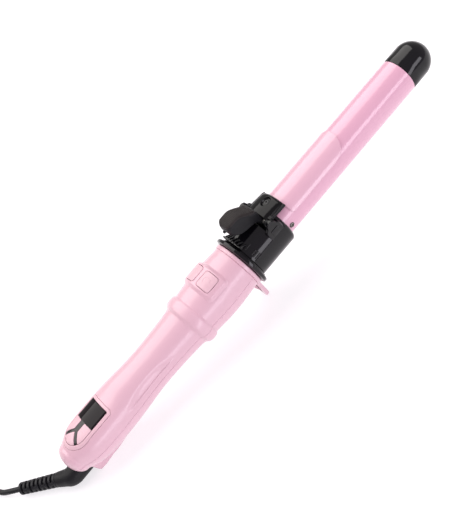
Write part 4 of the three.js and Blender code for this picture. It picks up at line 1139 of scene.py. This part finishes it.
# bracket: a glossy arch with matte cheeks and a countersunk screw seat
xs = np.unique(np.concatenate([31.7 + 0.6 * (1 - np.cos(np.linspace(0, math.pi / 2, 6))), np.linspace(32.4, 38, 14), np.arange(38.2, 45.8, 0.22), 48.1 - 2.4 * (1 - np.sin(np.linspace(0, math.pi / 2, 14)))]))
ang = np.radians(np.unique(np.concatenate([np.linspace(-36, -30, 14), np.linspace(-29.5, -15, 16), np.linspace(-14.5, 14.5, 73), np.linspace(15, 29.5, 16), np.linspace(30, 36, 14)])))
X, PH = np.meshgrid(xs, ang, indexing="ij")
R = np.interp(X, [31.7, 36, 41, 45, 48.1], [20.2, 20.3, 20.0, 19.5, 18.7])
fe = np.clip((X - 45.7) / 2.4, 0, 1)
R = R - 1.9 * (1 - np.sqrt(np.clip(1 - fe ** 2, 0, 1)))
be = np.clip((32.3 - X) / 0.6, 0, 1)
R = R - 0.5 * (1 - np.sqrt(np.clip(1 - be ** 2, 0, 1)))
deg = np.degrees(np.abs(PH))
R = R - 0.55 * smooth(29.5, 31.0, deg) - 0.5 * np.clip((deg - 31) / 5, 0, 1)
d = np.hypot((X - 41.9) / 1.25, R * np.sin(PH) / 1.0)
R = R - 1.55 * (1 - smooth(2.35, 3.35, d))
rin = np.where(X < 40.2, 17.85, 15.6)
rin = np.interp(X, [31.7, 39.9, 40.2, 48.1], [17.85, 17.85, 15.6, 15.6])
rin = np.minimum(rin, R - 0.5)
nu, nv = X.shape
O = np.stack([X, R * np.sin(PH), R * np.cos(PH)], -1).reshape(-1, 3)
I = np.stack([X, rin * np.sin(PH), rin * np.cos(PH)], -1).reshape(-1, 3)
V = np.vstack([O, I])
o = nu * nv
faces = grid_faces(nu, nv) + [tuple(reversed([i + o for i in f])) for f in grid_faces(nu, nv)]
for i in range(nu - 1):
    faces.append((i * nv, (i + 1) * nv, (i + 1) * nv + o, i * nv + o))
    j = nv - 1
    faces.append((i * nv + j, i * nv + j + o, (i + 1) * nv + j + o, (i + 1) * nv + j))
for j in range(nv - 1):
    faces.append((j, j + o, j + 1 + o, j + 1))
    q = (nu - 1) * nv
    faces.append((q + j, q + j + 1, q + j + 1 + o, q + j + o))
# the arch takes the darker black gloss copy: painted shade
put(make("bracket_arch", V, faces, angle=42), "clamp", "black_gloss", BLACK_GLOSS_SHADED, "clamp_bracket")
# matte cheeks along the arch's lower edges, and the lugs on the pin
parts = []
cheek = dense(fillet([(33.6, 14.9), (48.0, 13.6), (48.0, 15.3), (46.4, 15.9), (35.0, 16.7), (33.2, 16.9)], [0.5, 0.3, 0.4, 0.6, 0.6, 0.4], 5, True), 0.4)
for s in (1, -1):
    parts.append(slab(cheek, 9.6, 11.9, 0.35, lambda p, q, w, s=s: (p, s * (w - 0.05 * (p - 33)), q), n=3))
    lug = []
    for i in range(33):
        q = math.radians(40 + 280 * i / 32)
        lug.append((PIN_X + 2.8 * math.cos(q), PIN_Z + 2.8 * math.sin(q)))
    lug = [(35.8, 14.75), (35.8, 17.8), (33.4, 18.1)] + lug
    parts.append(slab(dense(ccw(np.array(lug)), 0.4), 9.4, 12.5, 0.4, lambda p, q, w, s=s: (p, s * w, q), n=3))
put(make("bracket_cheeks_and_lugs", *merged(*parts), angle=40), "clamp", "black_gloss", MATTE)
screw("bracket_screw_head", (41.9, 0, 17.75), (0, 0, 1), 2.3, "clamp", "steel", PART, "bracket_screw", h=0.9)

# thumb lever
side = fillet([(8.4, 30.2), (8.9, 33.0), (10.6, 34.8), (15, 34.9), (20, 34.3), (24, 31.3), (28, 27.7), (31.4, 26.0), (31.4, 18.9), (33.4, 17.0), (33.6, 14.4), (32.2, 12.9), (29.8, 12.9), (28.3, 14.4),
               (27.9, 18.1), (25.6, 19.9), (22, 20.6), (18, 21.4), (14, 22.9), (10.6, 25.7), (8.8, 28.4)],
              [1, 1, 1.6, 2, 3, 4, 3, 1, 0.8, 0.5, 1.2, 1.4, 1.4, 1.2, 1.0, 1.5, 3, 3, 3, 2, 1.5], 6, True)
side = dense(side, 0.4)
vv, ff = slab(side, -6.45, 6.45, 1.1, lambda p, q, w: (p, w, q), n=6)
x = vv[:, 0]
k = np.clip((12.4 - x) / 4.2, 0, 1)
vv[:, 1] *= np.sqrt(np.clip(1 - 0.72 * k ** 2, 0, 1))
put(make("lever_body", vv, ff, angle=40), "clamp", "black_matte", MATTE, "thumb_lever")
nub = fillet([(0, 0), (0, 1.3), (3.0, 1.2), (4.2, 0.9), (4.2, 0)], [0, 0, 0.3, 0.5, 0], 6)
nv_, nf = lathe([tuple(p) for p in nub], 32)
put(make("lever_tail_nub", turned(nv_, (11.4, 1.5, 29.0), (-1, 0, -0.1)), nf), "clamp", "black_matte", MATTE)
# ribbed pad: a crowned skin with rows of small pips
line = np.array([(9.0, 33.6), (9.5, 35.0), (10.8, 36.0), (13, 36.35), (16, 36.35), (19, 36.05), (21.5, 34.9), (24.9, 32.3), (28.2, 29.5), (30.9, 28.2)])
cl = catmull(np.column_stack([line, np.zeros(len(line))]), 14)[:, :2]
s_ = np.concatenate([[0], np.cumsum(np.linalg.norm(np.diff(cl, axis=0), axis=1))])
nrow = 190
sq = np.linspace(0, s_[-1], nrow)
cl = np.stack([np.interp(sq, s_, cl[:, 0]), np.interp(sq, s_, cl[:, 1])], 1)
tg = np.gradient(cl, axis=0)
tg /= np.linalg.norm(tg, axis=1)[:, None]
nr = np.stack([-tg[:, 1], tg[:, 0]], 1)
cols = 105
y = np.linspace(-1, 1, cols)
V = []
pitch_s, pitch_y = 1.05, 0.95
for i in range(nrow):
    hw = 6.15 * math.sqrt(max(0.02, 1 - 0.72 * max(0, (12.4 - cl[i, 0]) / 4.2) ** 2)) if cl[i, 0] < 12.4 else 6.15
    yy = y * hw
    edge = np.minimum((1 - np.abs(y)) * hw, np.minimum(sq[i], s_[-1] - sq[i]) + 0.05)
    crown = -0.8 * (np.abs(y) ** 3) - 0.55 * (1 - np.clip(edge / 0.8, 0, 1)) ** 2
    pips = 0.38 * np.maximum(0, np.sin(2 * math.pi * sq[i] / pitch_s)) * (0.35 + 0.65 * np.maximum(0, np.cos(2 * math.pi * yy / pitch_y))) * smooth(0.7, 1.5, edge)
    hgt = crown + pips
    V.append(np.stack([cl[i, 0] + nr[i, 0] * hgt, yy, cl[i, 1] + nr[i, 1] * hgt], 1))
V = np.vstack(V)
low = V.copy().reshape(nrow, cols, 3)
for i in range(nrow):
    low[i, :, 0] -= nr[i, 0] * 1.1
    low[i, :, 2] = np.minimum(low[i, :, 2], cl[i, 1] - 0.9) - nr[i, 1] * 0.5
V = np.vstack([V, low.reshape(-1, 3)])
nu, nv = nrow, cols
o = nu * nv
faces = grid_faces(nu, nv) + [tuple(reversed([i + o for i in f])) for f in grid_faces(nu, nv)]
for i in range(nu - 1):
    faces.append((i * nv, (i + 1) * nv, (i + 1) * nv + o, i * nv + o))
    j = nv - 1
    faces.append((i * nv + j, i * nv + j + o, (i + 1) * nv + j + o, (i + 1) * nv + j))
for j in range(nv - 1):
    faces.append((j, j + o, j + 1 + o, j + 1))
    q = (nu - 1) * nv
    faces.append((q + j, q + j + 1, q + j + 1 + o, q + j + o))
put(make("lever_pad_ribbed", V, faces, angle=60), "clamp", "pad_rubber", PAD, "thumb_pad")

# ------------------------------------------------------------------ swivel sleeve and elbow; the ribbed boot is made with the cord, above
arc = []
start = np.array([-160.5, 0, SLEEVE_Z])
bend0 = elbow + np.array([2.6, 0, 0])
bend1 = elbow + BOOT_DIR * 2.6
for t in np.linspace(0, 1, 14):
    arc.append(start + (bend0 - start) * t)
for t in np.linspace(0.06, 1, 16):
    arc.append((1 - t) ** 2 * bend0 + 2 * t * (1 - t) * elbow + t * t * bend1)
e2 = elbow + BOOT_DIR * (ELBOW_LEN + 0.2)
for t in np.linspace(0.1, 1, 10):
    arc.append(bend1 + (e2 - bend1) * t)
arc = np.array(arc)
ln = np.concatenate([[0], np.cumsum(np.linalg.norm(np.diff(arc, axis=0), axis=1))])
rr = np.interp(ln, [0, 12.0, 16.5, 19.5, 23, ln[-1] - 0.8, ln[-1]], [6.8, 6.9, 7.0, 6.7, 5.9, 5.3, 5.0])
vv, ff = sweep(arc, rr, 64)
col, cf = lathe([tuple(p) for p in fillet([(-166.4, 5.5), (-166.4, 7.05), (-164.4, 7.05), (-164.4, 5.5), (-166.4, 5.5)], [0, 0.4, 0.4, 0, 0], 4)], 64, centre=(0, SLEEVE_Z))
put(make("swivel_sleeve_elbow", vv, ff, angle=45), "swivel", "cord_black", MATTE, "swivel_sleeve")

# ------------------------------------------------------------------ stage and lights
fm = material("pale_floor", (170, 169, 171), rough=0.85, var=0.004, var_scale=3, bump=0.01, bump_scale=60)
fbs = fm.node_tree.nodes["Principled BSDF"]
fbs.inputs["Emission Color"].default_value = (1.0, 0.98, 1.0, 1)
fbs.inputs["Emission Strength"].default_value = 0.7
bpy.ops.mesh.primitive_plane_add(size=14, location=(0, 0, -0.0002))
floor = bpy.context.object
floor.name = "floor"
floor.data.materials.append(fm)
world = bpy.data.worlds.new("studio")
scene.world = world
world.use_nodes = True
wt = world.node_tree
wbg = wt.nodes["Background"]
wco = wt.nodes.new("ShaderNodeTexCoord")
wse = wt.nodes.new("ShaderNodeSeparateXYZ")
wmr = wt.nodes.new("ShaderNodeMapRange")
wmr.inputs["From Min"].default_value, wmr.inputs["From Max"].default_value = -1.0, 1.0
wra = wt.nodes.new("ShaderNodeValToRGB")
wra.color_ramp.elements[0].color = (0.97, 0.88, 1.0, 1)
wra.color_ramp.elements[1].color = (1.0, 0.975, 0.95, 1)
wt.links.new(wco.outputs["Generated"], wse.inputs[0])
wt.links.new(wse.outputs["Y"], wmr.inputs["Value"])
wt.links.new(wmr.outputs["Result"], wra.inputs["Fac"])
wt.links.new(wra.outputs["Color"], wbg.inputs["Color"])
wbg.inputs["Strength"].default_value = 0.5

C0 = np.array([0, -0.6816, 0.7317])
N0 = np.array([0, 0.7317, 0.6816])


def strip(name, az, x, dist_mm, size, power, colour, tilt=0.0):
    """a strip softbox along the wand, at an angle round it from the camera's side, always facing it"""
    q = math.radians(az)
    d = C0 * math.cos(q) + N0 * math.sin(q)
    la = bpy.data.lights.new(name, "AREA")
    la.shape = "RECTANGLE"
    la.size, la.size_y = size
    la.energy = power
    la.color = colour
    ob = bpy.data.objects.new(name, la)
    scene.collection.objects.link(ob)
    tang = np.cross(d, np.array([1.0, 0, 0]))
    tq = math.radians(tilt)
    xax = np.array([1.0, 0, 0]) * math.cos(tq) + tang * math.sin(tq)
    yax = np.cross(d, xax)
    mt = Matrix.Identity(4)
    pos = row(np.array([x, 0, 0]) + d * dist_mm)
    for i, ax_ in enumerate((rowdir(xax), rowdir(yax), rowdir(d))):
        for k in range(3):
            mt[k][i] = ax_[k]
    for k in range(3):
        mt[k][3] = pos[k]
    ob.matrix_world = mt
    return ob


strip("strip_over", 73, 60, 900, (1.9, 1.0), 15.0, (1.0, 0.97, 0.94))
strip("strip_front", -36, 130, 1100, (1.5, 0.34), 6.5, (0.96, 0.93, 1.0), tilt=12)
